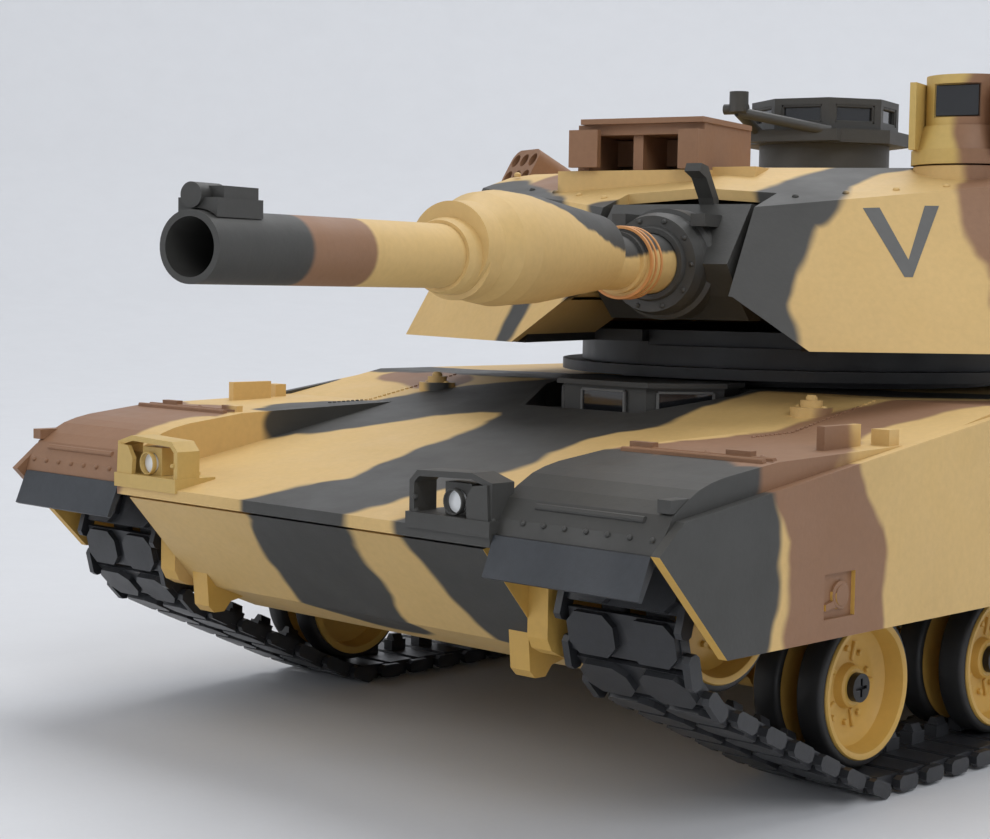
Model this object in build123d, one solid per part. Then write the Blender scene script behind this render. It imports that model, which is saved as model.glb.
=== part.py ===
"""Radio-controlled battle tank, 1/24 scale, with a traversing turret, an elevating BB gun and tracked drive.

Units are millimetres. +Z is up, the hull's front faces -Y and the vehicle's left side is +X. Hull parts are
drawn with Y measured from the turret ring's axis. Turret parts are drawn with the gun straight ahead, and are
turned by TURRET_REST when they are placed. The row's origin is on the ground, in the middle of the model.
"""

import os
from math import asin, atan2, cos, degrees, hypot, pi, radians, sin

from build123d import *

# ---- driving dimensions -------------------------------------------------------------------------------------
WALL = 1.8                                # moulded shell thickness
PLAY = 0.3                                # gap between separate mouldings that move

HALF_WIDTH = 76.2                         # over the side skirts
SKIRT = 1.6                               # skirt thickness
TUB_HALF = 42.5                           # lower hull, between the tracks
NOSE_HALF = 44.0
FENDER_IN = 46.0                          # inner wall of the fender, over the track
FENDER_OUT = HALF_WIDTH - SKIRT           # the upper hull's side, which the skirt is screwed to

NOSE_Y, NOSE_Z = -138.8, 42.0             # tip of the nose
PLATE_LOW = (-123.7, 23.5)                # bottom edge of the lower front plate
BELLY_Z = 18.0
CREST_Y, DECK_Z = -50.0, 58.6             # where the glacis meets the flat deck
REAR_Y = 191.0
REAR_PLATE_Y = 183.0
FENDER_FRONT = (-137.7, 42.0)
FENDER_RISE = [(-136.9, 44.2), (-135.0, 47.1), (-132.7, 48.6), (-129.6, 50.2), (-127.0, 51.0), (-124.0, 51.6),
               (-112.0, 53.0)]
GLACIS_SLOPE = (DECK_Z - NOSE_Z) / (CREST_Y - NOSE_Y)
MERGE_Y = -75.0                           # where the fender's top runs into the glacis
MERGE_Z = NOSE_Z + GLACIS_SLOPE * (MERGE_Y - NOSE_Y)
SKIRT_LOW_Z = 27.0

TRACK_X = 59.7                            # track centre line
TYRE_R, RIM_R = 12.5, 11.3
TRACK_INNER, TRACK_OUTER = 1.35, 1.5      # link thickness inside and outside its pin line
PIN_LINE_R = TYRE_R + 0.15 + TRACK_INNER  # pin line's distance from a wheel's centre
GROUND_Z = -1.6                           # the ground, in the frame that the hull is drawn in
AXLE_Z = GROUND_Z + PIN_LINE_R + TRACK_OUTER
END_WHEEL_RISE = 0.75                     # the first and last road wheels stand this much higher
END_PATH_R = 14.8                         # pin line's radius round the idler and the sprocket
FIRST_WHEEL_Y, FIRST_GAP, WHEEL_GAP = -75.5, 41.0, 29.4
WHEEL_Y = [FIRST_WHEEL_Y] + [FIRST_WHEEL_Y + FIRST_GAP + WHEEL_GAP * i for i in range(6)]
IDLER_YZ = (-112.3, 31.6)
SPROCKET_YZ = (136.0, 31.5)
WHEEL_Z = [AXLE_Z + (END_WHEEL_RISE if y in (WHEEL_Y[0], WHEEL_Y[-1]) else 0.0) for y in WHEEL_Y]
LINK_COUNT = 78
AXLE_R = 1.6

TURRET_REST = 15.2                        # the turret stands turned this far to its left, in degrees
RING_R = 38.0                             # hole in the deck that the turret's collar turns in
GEAR_MODULE = 1.5
RING_TEETH, TRAVERSE_TEETH = 54, 9
FINAL_MODULE, FINAL_TEETH, MOTOR_TEETH = 0.8, 22, 9

GUN_Z = 81.0
MUZZLE_Y = -205.7
TRUNNION_Y = -50.0
MUZZLE_R, BORE_R, TUBE_R = 4.3, 3.5, 4.5
ROOF_Z = 99.5
ROOF_FRONT = (15.0, -65.1, 91.6)          # front corner of the roof, beside the gun shield
CHEEK_BASE = (27.0, -76.3, 67.1)          # inner lower corner of the left cheek plate
CHEEK_SWEEP, CHEEK_LEAN = 32.6, 30.8      # degrees from square-on, and back from upright
TURRET_HALF = 64.0
TURRET_BACK = 112.0
TURRET_LOW_Z = 60.2                       # underside of the turret's base
CITV_XY = (40.0, -29.5)
CUPOLA_XY, CUPOLA_R = (-7.0, 27.0), 15.5
LOADER_XY, LOADER_R = (30.0, 20.0), 11.5

FRONT_REACH = -MUZZLE_Y * cos(radians(TURRET_REST)) + MUZZLE_R * sin(radians(TURRET_REST))
RING_Y = (FRONT_REACH - REAR_Y) / 2       # turret axis in the row's frame, which is centred on the whole model


# ---- shape helpers ------------------------------------------------------------------------------------------
def block(x0, x1, y0, y1, z0, z1):
    return Solid.make_box(x1 - x0, y1 - y0, z1 - z0, Plane((x0, y0, z0)))


def rod(start, end, radius, end_radius=None):
    """A round bar, or a cone, from one point to another."""
    a, b = Vector(*start), Vector(*end)
    plane = Plane(a, z_dir=(b - a))
    if end_radius is None:
        return Solid.make_cylinder(radius, (b - a).length, plane)
    return Solid.make_cone(radius, end_radius, (b - a).length, plane)


def rod_x(y, z, radius, x0, x1):
    return rod((x0, y, z), (x1, y, z), radius)


def rod_y(x, z, radius, y0, y1):
    return rod((x, y0, z), (x, y1, z), radius)


def rod_z(x, y, radius, z0, z1):
    return rod((x, y, z0), (x, y, z1), radius)


def prism(points, direction):
    return Solid.extrude(Face(Wire.make_polygon([Vector(*p) for p in points])), Vector(*direction))


def side_prism(points_yz, x0, x1):
    return prism([(x0, y, z) for y, z in points_yz], (x1 - x0, 0, 0))


def plan_prism(points_xy, z0, z1):
    return prism([(x, y, z0) for x, y in points_xy], (0, 0, z1 - z0))


def front_prism(points_xz, y0, y1):
    return prism([(x, y0, z) for x, z in points_xz], (0, y1 - y0, 0))


def cut_beyond(shape, point, normal, reach=600.0):
    """Removes what lies on the far side of a plane."""
    plane = Plane(Vector(*point), z_dir=Vector(*normal))
    corner = plane.from_local_coords((-reach / 2, -reach / 2, 0))
    return shape - Solid.make_box(reach, reach, reach, Plane(corner, x_dir=plane.x_dir, z_dir=plane.z_dir))


def turned(points_xr, axis_y, axis_z):
    """A solid of revolution about a crosswise axis, from points (x, radius)."""
    face = Face(Wire.make_polygon([Vector(x, axis_y, axis_z + r) for x, r in points_xr]))
    return Solid.revolve(face, 360, Axis((0, axis_y, axis_z), (1, 0, 0)))


def turned_gun(points_yr):
    """A solid of revolution about the gun's axis, from points (y, radius)."""
    face = Face(Wire.make_polygon([Vector(0, y, GUN_Z + r) for y, r in points_yr]))
    return Solid.revolve(face, 360, Axis((0, 0, GUN_Z), (0, 1, 0)))


def ring_of(count, radius, start=0.0):
    """Points (a, b) spread evenly round a circle."""
    return [(radius * cos(start + 2 * pi * i / count), radius * sin(start + 2 * pi * i / count)) for i in range(count)]


def mirrored(shapes):
    return [s.mirror(Plane.YZ) for s in shapes]


def both_sides(shapes):
    return list(shapes) + mirrored(shapes)


def glacis_z(y):
    return min(DECK_Z, NOSE_Z + GLACIS_SLOPE * (y - NOSE_Y))


def gear(teeth, module, thickness, bore=0.0, phase=0.0):
    """A spur gear about +Z with straight-flanked teeth, standing on z = 0, with one tooth centred at phase."""
    pitch_r = module * teeth / 2
    tip_r, root_r = pitch_r + 0.8 * module, pitch_r - 1.15 * module
    step = 2 * pi / teeth
    half_root, half_tip = 0.30 * step, 0.09 * step
    points = []
    for i in range(teeth):
        middle = phase + i * step
        flank = ((-half_root, root_r), (-half_tip, tip_r), (half_tip, tip_r), (half_root, root_r))
        points += [(r * cos(middle + a), r * sin(middle + a)) for a, r in flank]
    body = plan_prism(points, 0, thickness)
    return body - rod_z(0, 0, bore, -1, thickness + 1) if bore else body


# ---- lower hull and its contents ----------------------------------------------------------------------------
TUB_TOP_Z = 46.0
BATTERY_BOX = (-24.0, 24.0, -30.0, 34.0)       # x and y limits of the battery bay
SWITCH_XY = (24.0, -62.0)
SWITCH_TRAVEL = 3.0
SWITCH_SLOT = (4.0, 9.0)
BRACKET_X = 46.4                               # outer face of the bracket that carries the idler


def lower_hull():
    """The tub: belly, side walls, lower front plate and rear plate, open at the top."""
    top_front_y = NOSE_Y + 1.0
    outer = [(top_front_y, NOSE_Z - 2.4), PLATE_LOW, (-110, BELLY_Z), (168, BELLY_Z), (REAR_PLATE_Y, 30),
             (REAR_PLATE_Y, TUB_TOP_Z), (-100, TUB_TOP_Z)]
    inner = [(top_front_y + 4.2, NOSE_Z + 3), (top_front_y + 3.2, NOSE_Z - 2.4), (-122.2, 25.4),
             (-109.4, BELLY_Z + WALL), (167.2, BELLY_Z + WALL), (REAR_PLATE_Y - WALL, 30.8),
             (REAR_PLATE_Y - WALL, TUB_TOP_Z + 9), (-100, TUB_TOP_Z + 9)]
    tub = side_prism(outer, -TUB_HALF, TUB_HALF) - side_prism(inner, WALL - TUB_HALF, TUB_HALF - WALL)
    x0, x1, y0, y1 = BATTERY_BOX
    tub -= block(x0, x1, y0, y1, BELLY_Z - 1, BELLY_Z + WALL + 1)
    sx, sy = SWITCH_XY
    tub -= block(sx - SWITCH_SLOT[0] / 2, sx + SWITCH_SLOT[0] / 2, sy - SWITCH_SLOT[1] / 2, sy + SWITCH_SLOT[1] / 2,
                 BELLY_Z - 1, BELLY_Z + WALL + 1)
    for side in (-1, 1):
        tub -= rod_x(*SPROCKET_YZ, 2.1, side * (TUB_HALF - WALL - 1), side * (TUB_HALF + 1))
    ledge = block(-TUB_HALF + WALL, -TUB_HALF + WALL + 2.5, -20, 20, 38, 40)
    posts = [rod_z(x, y, 2.6, BELLY_Z + WALL - 0.2, TUB_TOP_Z - 1) for x in (-34, 34) for y in (-88, 72)]
    bracket = side_prism([(-128.2, 26.0), (-127.2, 24.2), (-125.2, 23.2), (-108, 20.0), (-102, 24), (-102, 38), (-106, 40.2),
                          (-128.2, 40.2)], TUB_HALF - 0.1, BRACKET_X)
    for piece in both_sides([ledge, bracket]) + posts:
        tub += piece
    return tub


def battery_pack():
    """Three cylindrical cells side by side in a shrink-wrapped pack."""
    cell_r, cell_length = 7.0, 58.0
    rows = [(x, 27.5) for x in (-14.6, 0, 14.6)]
    return [rod_y(x, z, cell_r, 2 - cell_length / 2, 2 + cell_length / 2) for x, z in rows]


def battery_door():
    x0, x1, y0, y1 = BATTERY_BOX
    door = block(x0 + 0.2, x1 - 0.2, y0 + 0.2, y1 - 0.2, BELLY_Z, BELLY_Z + WALL)
    grip = block(-6, 6, y0 + 4, y0 + 7, BELLY_Z - 1, BELLY_Z + 0.8)
    return [door - grip]


def circuit_board():
    board = block(-34, 34, -22, 18, 40.2, 41.8)
    parts = [block(-20, -6, -14, 0, 41.7, 44), block(4, 16, -16, -8, 41.7, 44.4), block(-28, -22, 6, 14, 41.7, 47),
             block(6, 28, 6, 14, 41.7, 46)]
    parts += [rod_z(x, 2, 2.2, 41.7, 47) for x in (10, 17, 24)]
    for part in parts:
        board += part
    return [board]


FINAL_GEAR_X = 27.0                            # inner face of the gear on the sprocket's axle
FINAL_GEAR_WIDTH = 4.0
FINAL_DISTANCE = FINAL_MODULE * (FINAL_TEETH + MOTOR_TEETH) / 2 + 0.1
MOTOR_YZ = (SPROCKET_YZ[0] - FINAL_DISTANCE, SPROCKET_YZ[1])
MOTOR_R, MOTOR_LENGTH = 10.0, 20.0


def gearbox_housings():
    """A moulded case at each side, round the sprocket's axle and the final gear."""
    y, z = SPROCKET_YZ
    outer = block(24, 39.5, y - 27, y + 17.5, BELLY_Z + WALL + 0.1, 48.5)
    inner = block(25.6, 37.9, y - 25.4, y + 16, BELLY_Z + WALL + 1.2, 50)
    case = outer - inner
    case -= rod_x(y, z, 2.1, 36, 41)
    case -= rod_x(y, z, 2.1, 22, 27)
    case -= rod_x(*MOTOR_YZ, 2.4, 22, 27)
    return both_sides([case])


def drive_motors():
    """A flat-can motor at each side, whose shaft reaches into the gearbox."""
    y, z = MOTOR_YZ
    can = rod_x(y, z, MOTOR_R, 23.9 - MOTOR_LENGTH, 23.9)
    flats = block(0, 40, y - 12, y + 12, z + 8, z + 12)
    flats += block(0, 40, y - 12, y + 12, z - 12, z - 8)
    return both_sides([can - flats, rod_x(y, z, 1.0, 24.0, 35.0)])


def motor_pinion(side):
    y, z = MOTOR_YZ
    pinion = gear(MOTOR_TEETH, FINAL_MODULE, 6.0, bore=1.05, phase=pi / MOTOR_TEETH)
    placed = Plane((FINAL_GEAR_X - 1, y, z), x_dir=(0, 1, 0), z_dir=(1, 0, 0)) * pinion
    return [placed] if side > 0 else mirrored([placed])


TRAVERSE_Y = GEAR_MODULE * (RING_TEETH + TRAVERSE_TEETH) / 2 + 0.15
RING_GEAR_Z = (51.0, 54.6)


def traverse_motor():
    """The gearmotor that turns the turret, on a bracket under the deck."""
    can = rod_z(0, TRAVERSE_Y, 8.0, 26.0, 46.0)
    head = block(-9, 9, TRAVERSE_Y - 7.5, TRAVERSE_Y + 14, 46.1, 49.6)
    bracket = block(-13, 13, TRAVERSE_Y + 10, TRAVERSE_Y + 13, 49.6, DECK_Z - WALL - 0.1)
    shaft = rod_z(0, TRAVERSE_Y, 1.5, 49.6, 55.4)
    return [can, head + bracket + shaft]


def traverse_pinion():
    pinion = gear(TRAVERSE_TEETH, GEAR_MODULE, 4.6, bore=1.6, phase=-pi / 2 + pi / TRAVERSE_TEETH)
    return [pinion.moved(Location((0, TRAVERSE_Y, RING_GEAR_Z[0] - 0.5)))]


def power_switch():
    """The slider of the main switch, in its slot in the belly. It stands in the off position."""
    x, y = SWITCH_XY
    low = y - SWITCH_SLOT[1] / 2 + 0.4
    knob = block(x - 1.7, x + 1.7, low, low + SWITCH_SLOT[1] - SWITCH_TRAVEL - 0.8, BELLY_Z - 0.6, BELLY_Z + 2.2)
    plate = block(x - 3.2, x + 3.2, low - 1.5, low + SWITCH_SLOT[1] - SWITCH_TRAVEL + 0.7, BELLY_Z + 2.1, BELLY_Z + 3)
    return [knob + plate]


def tow_hooks():
    """Two lugs under the front plate and two on the rear plate."""
    y, z = PLATE_LOW
    lug = side_prism([(y - 2.2, z + 3.2), (y - 1.6, z - 3.4), (y - 0.4, z - 4.6), (y + 1.8, z - 4.6), (y + 3.2, z - 3.0),
                      (y + 6.0, z - 2.4), (y + 1.2, z + 0.0)], 36.4, 40.4)
    lug -= side_prism([(y - 5, z + 8), (y - 4.5, z + 5.25), (y, z), (y + 13.7, z - 5.5), (y + 14, z + 8)], 30, 44)
    rear = block(30, 34, REAR_PLATE_Y, REAR_PLATE_Y + 4.5, 36, 42)
    rear -= rod_x(REAR_PLATE_Y + 2.2, 39, 1.2, 29, 35)
    tub = lower_hull()
    return both_sides([lug - tub, rear - tub])


# ---- upper hull ---------------------------------------------------------------------------------------------
def fender_profile(drop=0.0, front=0.0):
    """Side outline of the fender's top, lowered by drop and set back by front."""
    rise = [FENDER_FRONT] + FENDER_RISE
    return [(y + front, z - drop) for y, z in rise] + [(MERGE_Y, MERGE_Z - drop), (CREST_Y, DECK_Z - drop),
                                                       (REAR_Y - 5 - front, DECK_Z - drop)]


HATCH_WELL = [(-14, -71), (14, -71), (24, -54), (24, -47), (17, -44.5), (-17, -44.5), (-24, -47), (-24, -54)]


def upper_hull():
    """The deck moulding: glacis, fenders, deck with the turret hole, and the rear slope."""
    middle = side_prism([(NOSE_Y, NOSE_Z - 1.9), (NOSE_Y, NOSE_Z), (CREST_Y, DECK_Z), (REAR_Y - 5, DECK_Z),
                         (REAR_Y, 52), (REAR_Y - 2, TUB_TOP_Z), (-90, TUB_TOP_Z)], -FENDER_IN, FENDER_IN)
    slant = 9.0
    nose_trim = [prism([(s * NOSE_HALF, NOSE_Y - 5, 30), (s * 60, NOSE_Y - 5, 30), (s * 60, NOSE_Y + slant, 30),
                        (s * FENDER_IN, NOSE_Y + slant, 30)], (0, 0, 25)) for s in (-1, 1)]
    cavity = side_prism([(NOSE_Y + 1.8, NOSE_Z - 9), (NOSE_Y + 1.8, NOSE_Z - WALL + 0.35), (CREST_Y, DECK_Z - WALL),
                         (REAR_Y - 6.5, DECK_Z - WALL), (REAR_Y - 2, 51), (REAR_Y - 3.6, 30)],
                        WALL - FENDER_IN, FENDER_IN - WALL)
    fender = side_prism(fender_profile() + [(REAR_Y, 52), (REAR_Y - 2, 49.6), (FENDER_FRONT[0], FENDER_FRONT[1] - 1.4)],
                        FENDER_IN - WALL, FENDER_OUT)
    hollow = side_prism(fender_profile(WALL, 1.6) + [(REAR_Y - 2.2, 51), (REAR_Y - 3.6, 30),
                                                     (FENDER_FRONT[0] + 1.6, 30)], FENDER_IN, FENDER_OUT - WALL)
    for trim in nose_trim:
        middle -= trim
    hull = middle - cavity
    for shape in (fender, fender.mirror(Plane.YZ)):
        hull += shape
    for shape in (hollow, hollow.mirror(Plane.YZ)):
        hull -= shape
    hull -= rod_z(0, 0, RING_R, DECK_Z - 5, DECK_Z + 2)
    hull -= plan_prism(HATCH_WELL, 50, 62)
    for side in (-1, 1):
        hull -= block(side * 60 - 14, side * 60 + 14, -112.4, -111.8, 52.4, 55)
    hull -= block(-16, 16, REAR_Y - 8, REAR_Y + 4, 49, 54)
    for x in (-36, 36):
        hull -= block(x - 14, x + 14, 120, 172, DECK_Z - 0.9, DECK_Z + 2)
    return [hull]


def side_skirt():
    """The left skirt: one plate with a slanted front edge and an access recess, cut away over the sprocket."""
    top_y0, top_z0 = -134.5, 46.4
    outline = [(-139.6, 42.2), (-124.6, SKIRT_LOW_Z - 0.2), (104, SKIRT_LOW_Z), (120, 44), (REAR_Y - 5, 46),
               (REAR_Y - 3, 52), (REAR_Y - 6, 57.4), (-54, 57.4), (top_y0, top_z0)]
    plate = side_prism(outline, FENDER_OUT + 0.05, HALF_WIDTH)
    plate -= block(HALF_WIDTH - 0.7, HALF_WIDTH + 1, -102.2, -94.4, 29.8, 36.4)
    knob = rod_x(-97.6, 33.0, 1.5, HALF_WIDTH - 0.9, HALF_WIDTH)
    lever = side_prism([(-101.4, 31.0), (-98.0, 31.4), (-98.0, 32.6), (-101.4, 31.9)], HALF_WIDTH - 0.9, HALF_WIDTH - 0.2)
    for piece in (knob, lever):
        plate += piece
    for y in (-45, 5, 55):
        plate -= block(HALF_WIDTH - 0.35, HALF_WIDTH + 1, y, y + 0.6, 20, 60)
    return [plate]


def mud_flaps():
    """Rubber flaps at the front and the rear of each fender."""
    y, z = FENDER_FRONT
    front = side_prism([(y + 0.3, z - 1.5), (y + 0.3, z - 0.1), (y - 0.6, z - 0.1), (y - 2.9, z - 5.8), (y - 2.2, z - 6.1)],
                       FENDER_IN - 1.0, FENDER_OUT - 1.0)
    rear = side_prism([(REAR_Y - 3.9, 50.4), (REAR_Y - 3.0, 50.4), (REAR_Y - 1.6, 40.2), (REAR_Y - 2.6, 40.2)],
                      FENDER_IN, FENDER_OUT - 2.0)
    return [flap - upper_hull()[0] for flap in both_sides([front, rear])]


LAMP_X, LAMP_Z = 36.8, 45.9
LAMP_SEAT_Z = 43.9                              # top of the flat base that the lamps stand on


def headlight_lamps():
    """The square lamp bodies inside the guards, one pair at each side."""
    lamp = block(LAMP_X - 2.7, LAMP_X + 2.7, NOSE_Y + 1.6, NOSE_Y + 6.2, LAMP_SEAT_Z, 48.6)
    lamp -= rod_y(LAMP_X, LAMP_Z, 1.75, NOSE_Y, NOSE_Y + 3.0)
    marker = block(LAMP_X + 3.4, LAMP_X + 6.4, NOSE_Y + 2.6, NOSE_Y + 6.2, LAMP_SEAT_Z, 47.4)
    return both_sides([lamp, marker])


def headlight_lenses():
    lens = rod_y(LAMP_X, LAMP_Z, 1.65, NOSE_Y + 1.3, NOSE_Y + 3.0)
    return both_sides([lens])


def headlight_guards():
    """A bent-plate frame over each lamp, on a flat base at the nose."""
    y0, y1 = NOSE_Y - 0.4, NOSE_Y + 8.0
    base = block(LAMP_X - 9, LAMP_X + 8.2, y0, y1, 41.5, LAMP_SEAT_Z - 0.05)
    hoop_out = [(LAMP_X - 8.8, 42.4), (LAMP_X - 8.8, 48.4), (LAMP_X - 7.2, 50.0), (LAMP_X + 4.0, 50.4), (LAMP_X + 8.0, 49.2),
                (LAMP_X + 8.0, 42.4)]
    hoop_in = [(LAMP_X - 7.8, 40.0), (LAMP_X - 7.8, 48.2), (LAMP_X - 6.8, 49.1), (LAMP_X + 3.8, 49.5), (LAMP_X + 7.0, 48.6),
               (LAMP_X + 7.0, 40.0)]
    hoop = front_prism(hoop_out, y0 + 0.6, y0 + 5.2) - front_prism(hoop_in, y0 - 1, y0 + 9)
    plate = front_prism([(LAMP_X + 3.6, 42.6), (LAMP_X + 3.2, 46.6), (LAMP_X + 4.6, 48.6), (LAMP_X + 7.4, 48.9),
                         (LAMP_X + 7.8, 42.6)], y0 + 0.2, y0 + 1.0)
    guard = (base + hoop + plate) - hull_outside()
    return both_sides([guard])


PERISCOPE_WALL = [(-9.8, -63.0), (9.8, -63.0), (19.0, -52.0), (17.0, -44.6), (-17.0, -44.6), (-19.0, -52.0)]
WELL_FLOOR_Z = 53.4


def driver_hatch():
    """The driver's station: a sunken tray in the glacis, a wall for three periscopes, and the lid over them."""
    glacis = side_prism([(-90, 40), (-90, glacis_z(-90)), (CREST_Y, DECK_Z), (0, DECK_Z), (0, 40)], -30, 30)
    tray = plan_prism(HATCH_WELL, WELL_FLOOR_Z - 1.2, 62) & glacis
    tray -= plan_prism([(x * 0.95, y + 0.9 if y < -60 else y) for x, y in HATCH_WELL[:4]] +
                       [(x * 0.95, y - 0.0) for x, y in HATCH_WELL[4:]], WELL_FLOOR_Z, 64)
    wall = plan_prism(PERISCOPE_WALL, WELL_FLOOR_Z - 0.2, 59.0)
    lid = plan_prism([(-11, -64), (11, -64), (20, -52.5), (18, -44.6), (-18, -44.6), (-20, -52.5)], 58.9, 59.8)
    hatch = tray + wall + lid
    for pocket in periscope_blocks(5.2, 2.2, 1.2):
        hatch -= pocket
    return [hatch]


def periscope_blocks(half, rise, depth):
    """One box for each of the three periscopes, let into the wall by depth."""
    middle = (57.9 + WELL_FLOOR_Z) / 2 + 0.3
    front = block(-half, half, -63.4, -63.0 + depth, middle - rise, middle + rise)
    boxes = [front]
    turn = degrees(atan2(11.0, 9.2))
    for side in (-1, 1):
        flat = block(-half, half, -0.4, depth, middle - rise, middle + rise)
        boxes.append(flat.moved(Location((side * 14.4, -57.5, 0), (0, 0, side * turn))))
    return boxes


def driver_periscopes():
    """Three vision blocks, each a pane and its frame, in the pockets of the driver's station."""
    return periscope_blocks(5.15, 2.15, 1.15)


def hull_outside():
    """The solid that the deck and the fenders enclose, which fittings are cut to sit on."""
    outline = [(NOSE_Y, 20), (NOSE_Y, NOSE_Z), (CREST_Y, DECK_Z), (REAR_Y - 5, DECK_Z), (REAR_Y, 52), (REAR_Y, 20)]
    fender = side_prism(fender_profile() + [(REAR_Y, 52), (REAR_Y, 20), (FENDER_FRONT[0], 20)], FENDER_IN - WALL, FENDER_OUT)
    return side_prism(outline, -FENDER_IN, FENDER_IN) + fender + fender.mirror(Plane.YZ)


def deck_fittings():
    """Lifting eyes, fender clips, handles, steps, filler caps and the two engine grilles."""
    pieces = []
    for side in (-1, 1):
        z = glacis_z(-62)
        eye = rod_z(side * 45, -62, 3.6, z - 2, z + 1.0) + rod_z(side * 45, -62, 1.9, z - 2, z + 2.2)
        pieces.append(eye)
        pieces.append(block(side * 69.5 - 0.7, side * 69.5 + 0.7, -94.5, -85, 52, 57.0))
        pieces.append(block(side * 72 - 1.6, side * 72 + 1.6, -82.5, -79.8, 52, 56.2))
        pieces.append(block(side * 74.0 - 1.8, side * 74.0 + 0.5, -135.4, -129.4, 47.4, 49.2))
        for x in (49, 67):
            pieces.append(block(side * x - 2.2, side * x + 2.2, -111.2, -109.8, 52, 54.1))
        pieces.append(rod_z(side * 60, 60, 4.2, DECK_Z - 1, DECK_Z + 1.2))
    outside = hull_outside()
    cut = [piece - outside for piece in pieces]
    cut += grilles()
    cut.append(block(-15.6, 15.6, REAR_Y - 6.2, REAR_Y - 4.4, 49.2, 53.8))
    return cut


def grilles():
    """The two engine deck grilles, in their recesses."""
    made = []
    for side in (-1, 1):
        grille = block(side * 36 - 13.8, side * 36 + 13.8, 120.2, 171.8, DECK_Z - 0.85, DECK_Z + 0.9)
        for i in range(11):
            y = 123.4 + 4.4 * i
            grille -= block(side * 36 - 12, side * 36 + 12, y, y + 2.2, DECK_Z, DECK_Z + 2)
        made.append(grille)
    return made


def tail_lights():
    housing = block(62, 71, REAR_Y - 3.0, REAR_Y + 0.0, 52.4, 55.6)
    hull = upper_hull()[0]
    return [lamp - hull for lamp in both_sides([housing])]


# ---- running gear -------------------------------------------------------------------------------------------
HORN_HALF = 1.2
DISC_GAP = 1.75                                # half the slot between a wheel's two discs
WHEEL_OUT = TRACK_X + 7.0                      # outer face of a road wheel
WHEEL_IN = TRACK_X - 7.0
HUB_FACE = WHEEL_OUT - 2.6                     # outer face of the hub boss


def wheel_solids(y, z):
    """A double wheel: a hub with two dished rims, and a tyre on each."""
    hub = [(WHEEL_IN + 1.0, AXLE_R + 0.1), (HUB_FACE, AXLE_R + 0.1), (HUB_FACE, 3.4), (HUB_FACE - 1.6, 3.8),
           (WHEEL_OUT - 4.4, 9.6), (WHEEL_OUT, 10.2), (WHEEL_OUT, RIM_R), (TRACK_X + DISC_GAP, RIM_R),
           (TRACK_X + DISC_GAP, 5.0), (TRACK_X - DISC_GAP, 5.0), (TRACK_X - DISC_GAP, RIM_R), (WHEEL_IN, RIM_R),
           (WHEEL_IN, 10.0), (WHEEL_IN + 3.6, 9.4), (WHEEL_IN + 3.6, 3.6), (WHEEL_IN + 1.0, 3.4)]
    bands = ((TRACK_X + DISC_GAP, WHEEL_OUT - 0.5), (WHEEL_IN + 0.5, TRACK_X - DISC_GAP))
    tyres = [turned([(x0, RIM_R), (x0, TYRE_R - 0.3), (x0 + 0.4, TYRE_R), (x1 - 0.4, TYRE_R), (x1, TYRE_R - 0.3),
                     (x1, RIM_R)], y, z) for x0, x1 in bands]
    return [turned(hub, y, z)] + tyres


def wheel_node(side, y, z):
    solids = wheel_solids(y, z)
    return solids if side > 0 else mirrored(solids)


def sprocket_node(side):
    """The drive sprocket with its two toothed rings, its axle and the final gear."""
    y, z = SPROCKET_YZ
    teeth, tip_r, root_r = 11, TYRE_R - 0.1, TYRE_R - 3.0
    drum = turned([(WHEEL_IN, 0.0), (WHEEL_OUT - 1.0, 0.0), (WHEEL_OUT - 1.0, 4.0), (WHEEL_OUT - 1.8, 9.0),
                   (TRACK_X + DISC_GAP + 1.8, 9.0), (TRACK_X + DISC_GAP + 1, 8.2), (TRACK_X - DISC_GAP - 1, 8.2),
                   (TRACK_X - DISC_GAP - 1.8, 9.0), (WHEEL_IN, 9.0)], y, z)
    outline = []
    step = 2 * pi / teeth
    for i in range(teeth):
        flank = ((-0.30, root_r), (-0.14, tip_r), (0.14, tip_r), (0.30, root_r))
        outline += [(r * cos(step * (i + a)), r * sin(step * (i + a))) for a, r in flank]
    rings = [prism([(x, y + a, z + b) for a, b in outline], (1.8, 0, 0)) for x in (WHEEL_IN + 0.4, WHEEL_OUT - 2.2)]
    sprocket = drum
    for toothed in rings:
        sprocket += toothed
    axle = rod_x(y, z, 2.0, 22.5, WHEEL_IN)
    wheel = gear(FINAL_TEETH, FINAL_MODULE, FINAL_GEAR_WIDTH, bore=2.0)
    placed = Plane((FINAL_GEAR_X, y, z), x_dir=(0, 1, 0), z_dir=(1, 0, 0)) * wheel
    solids = [sprocket, axle, placed]
    return solids if side > 0 else mirrored(solids)


def suspension_arms():
    """A trailing arm with its stub axle for each road wheel, and a fixed stub axle for each idler."""
    pieces = []
    pivot_back, pivot_rise = 10.5, 7.5
    arm_x = (TUB_HALF + 0.05, TUB_HALF + 3.2)
    for y, axle_z in zip(WHEEL_Y, WHEEL_Z):
        py, pz = y - pivot_back, axle_z + pivot_rise
        length = hypot(pivot_back, pivot_rise)
        ny, nz = pivot_rise / length * 2.6, pivot_back / length * 2.6
        arm = side_prism([(y - ny, axle_z - nz), (y + ny, axle_z + nz), (py + ny, pz + nz), (py - ny, pz - nz)], *arm_x)
        for ey, ez in ((y, axle_z), (py, pz)):
            arm += rod_x(ey, ez, 3.0, *arm_x)
        arm += rod_x(y, axle_z, AXLE_R, arm_x[0], HUB_FACE - 0.2)
        pieces.append(arm)
    iy, iz = IDLER_YZ
    pieces.append(rod_x(iy, iz, 3.4, BRACKET_X + 0.05, BRACKET_X + 2.0) + rod_x(iy, iz, AXLE_R, BRACKET_X + 0.05, HUB_FACE - 0.2))
    return both_sides(pieces)


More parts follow.
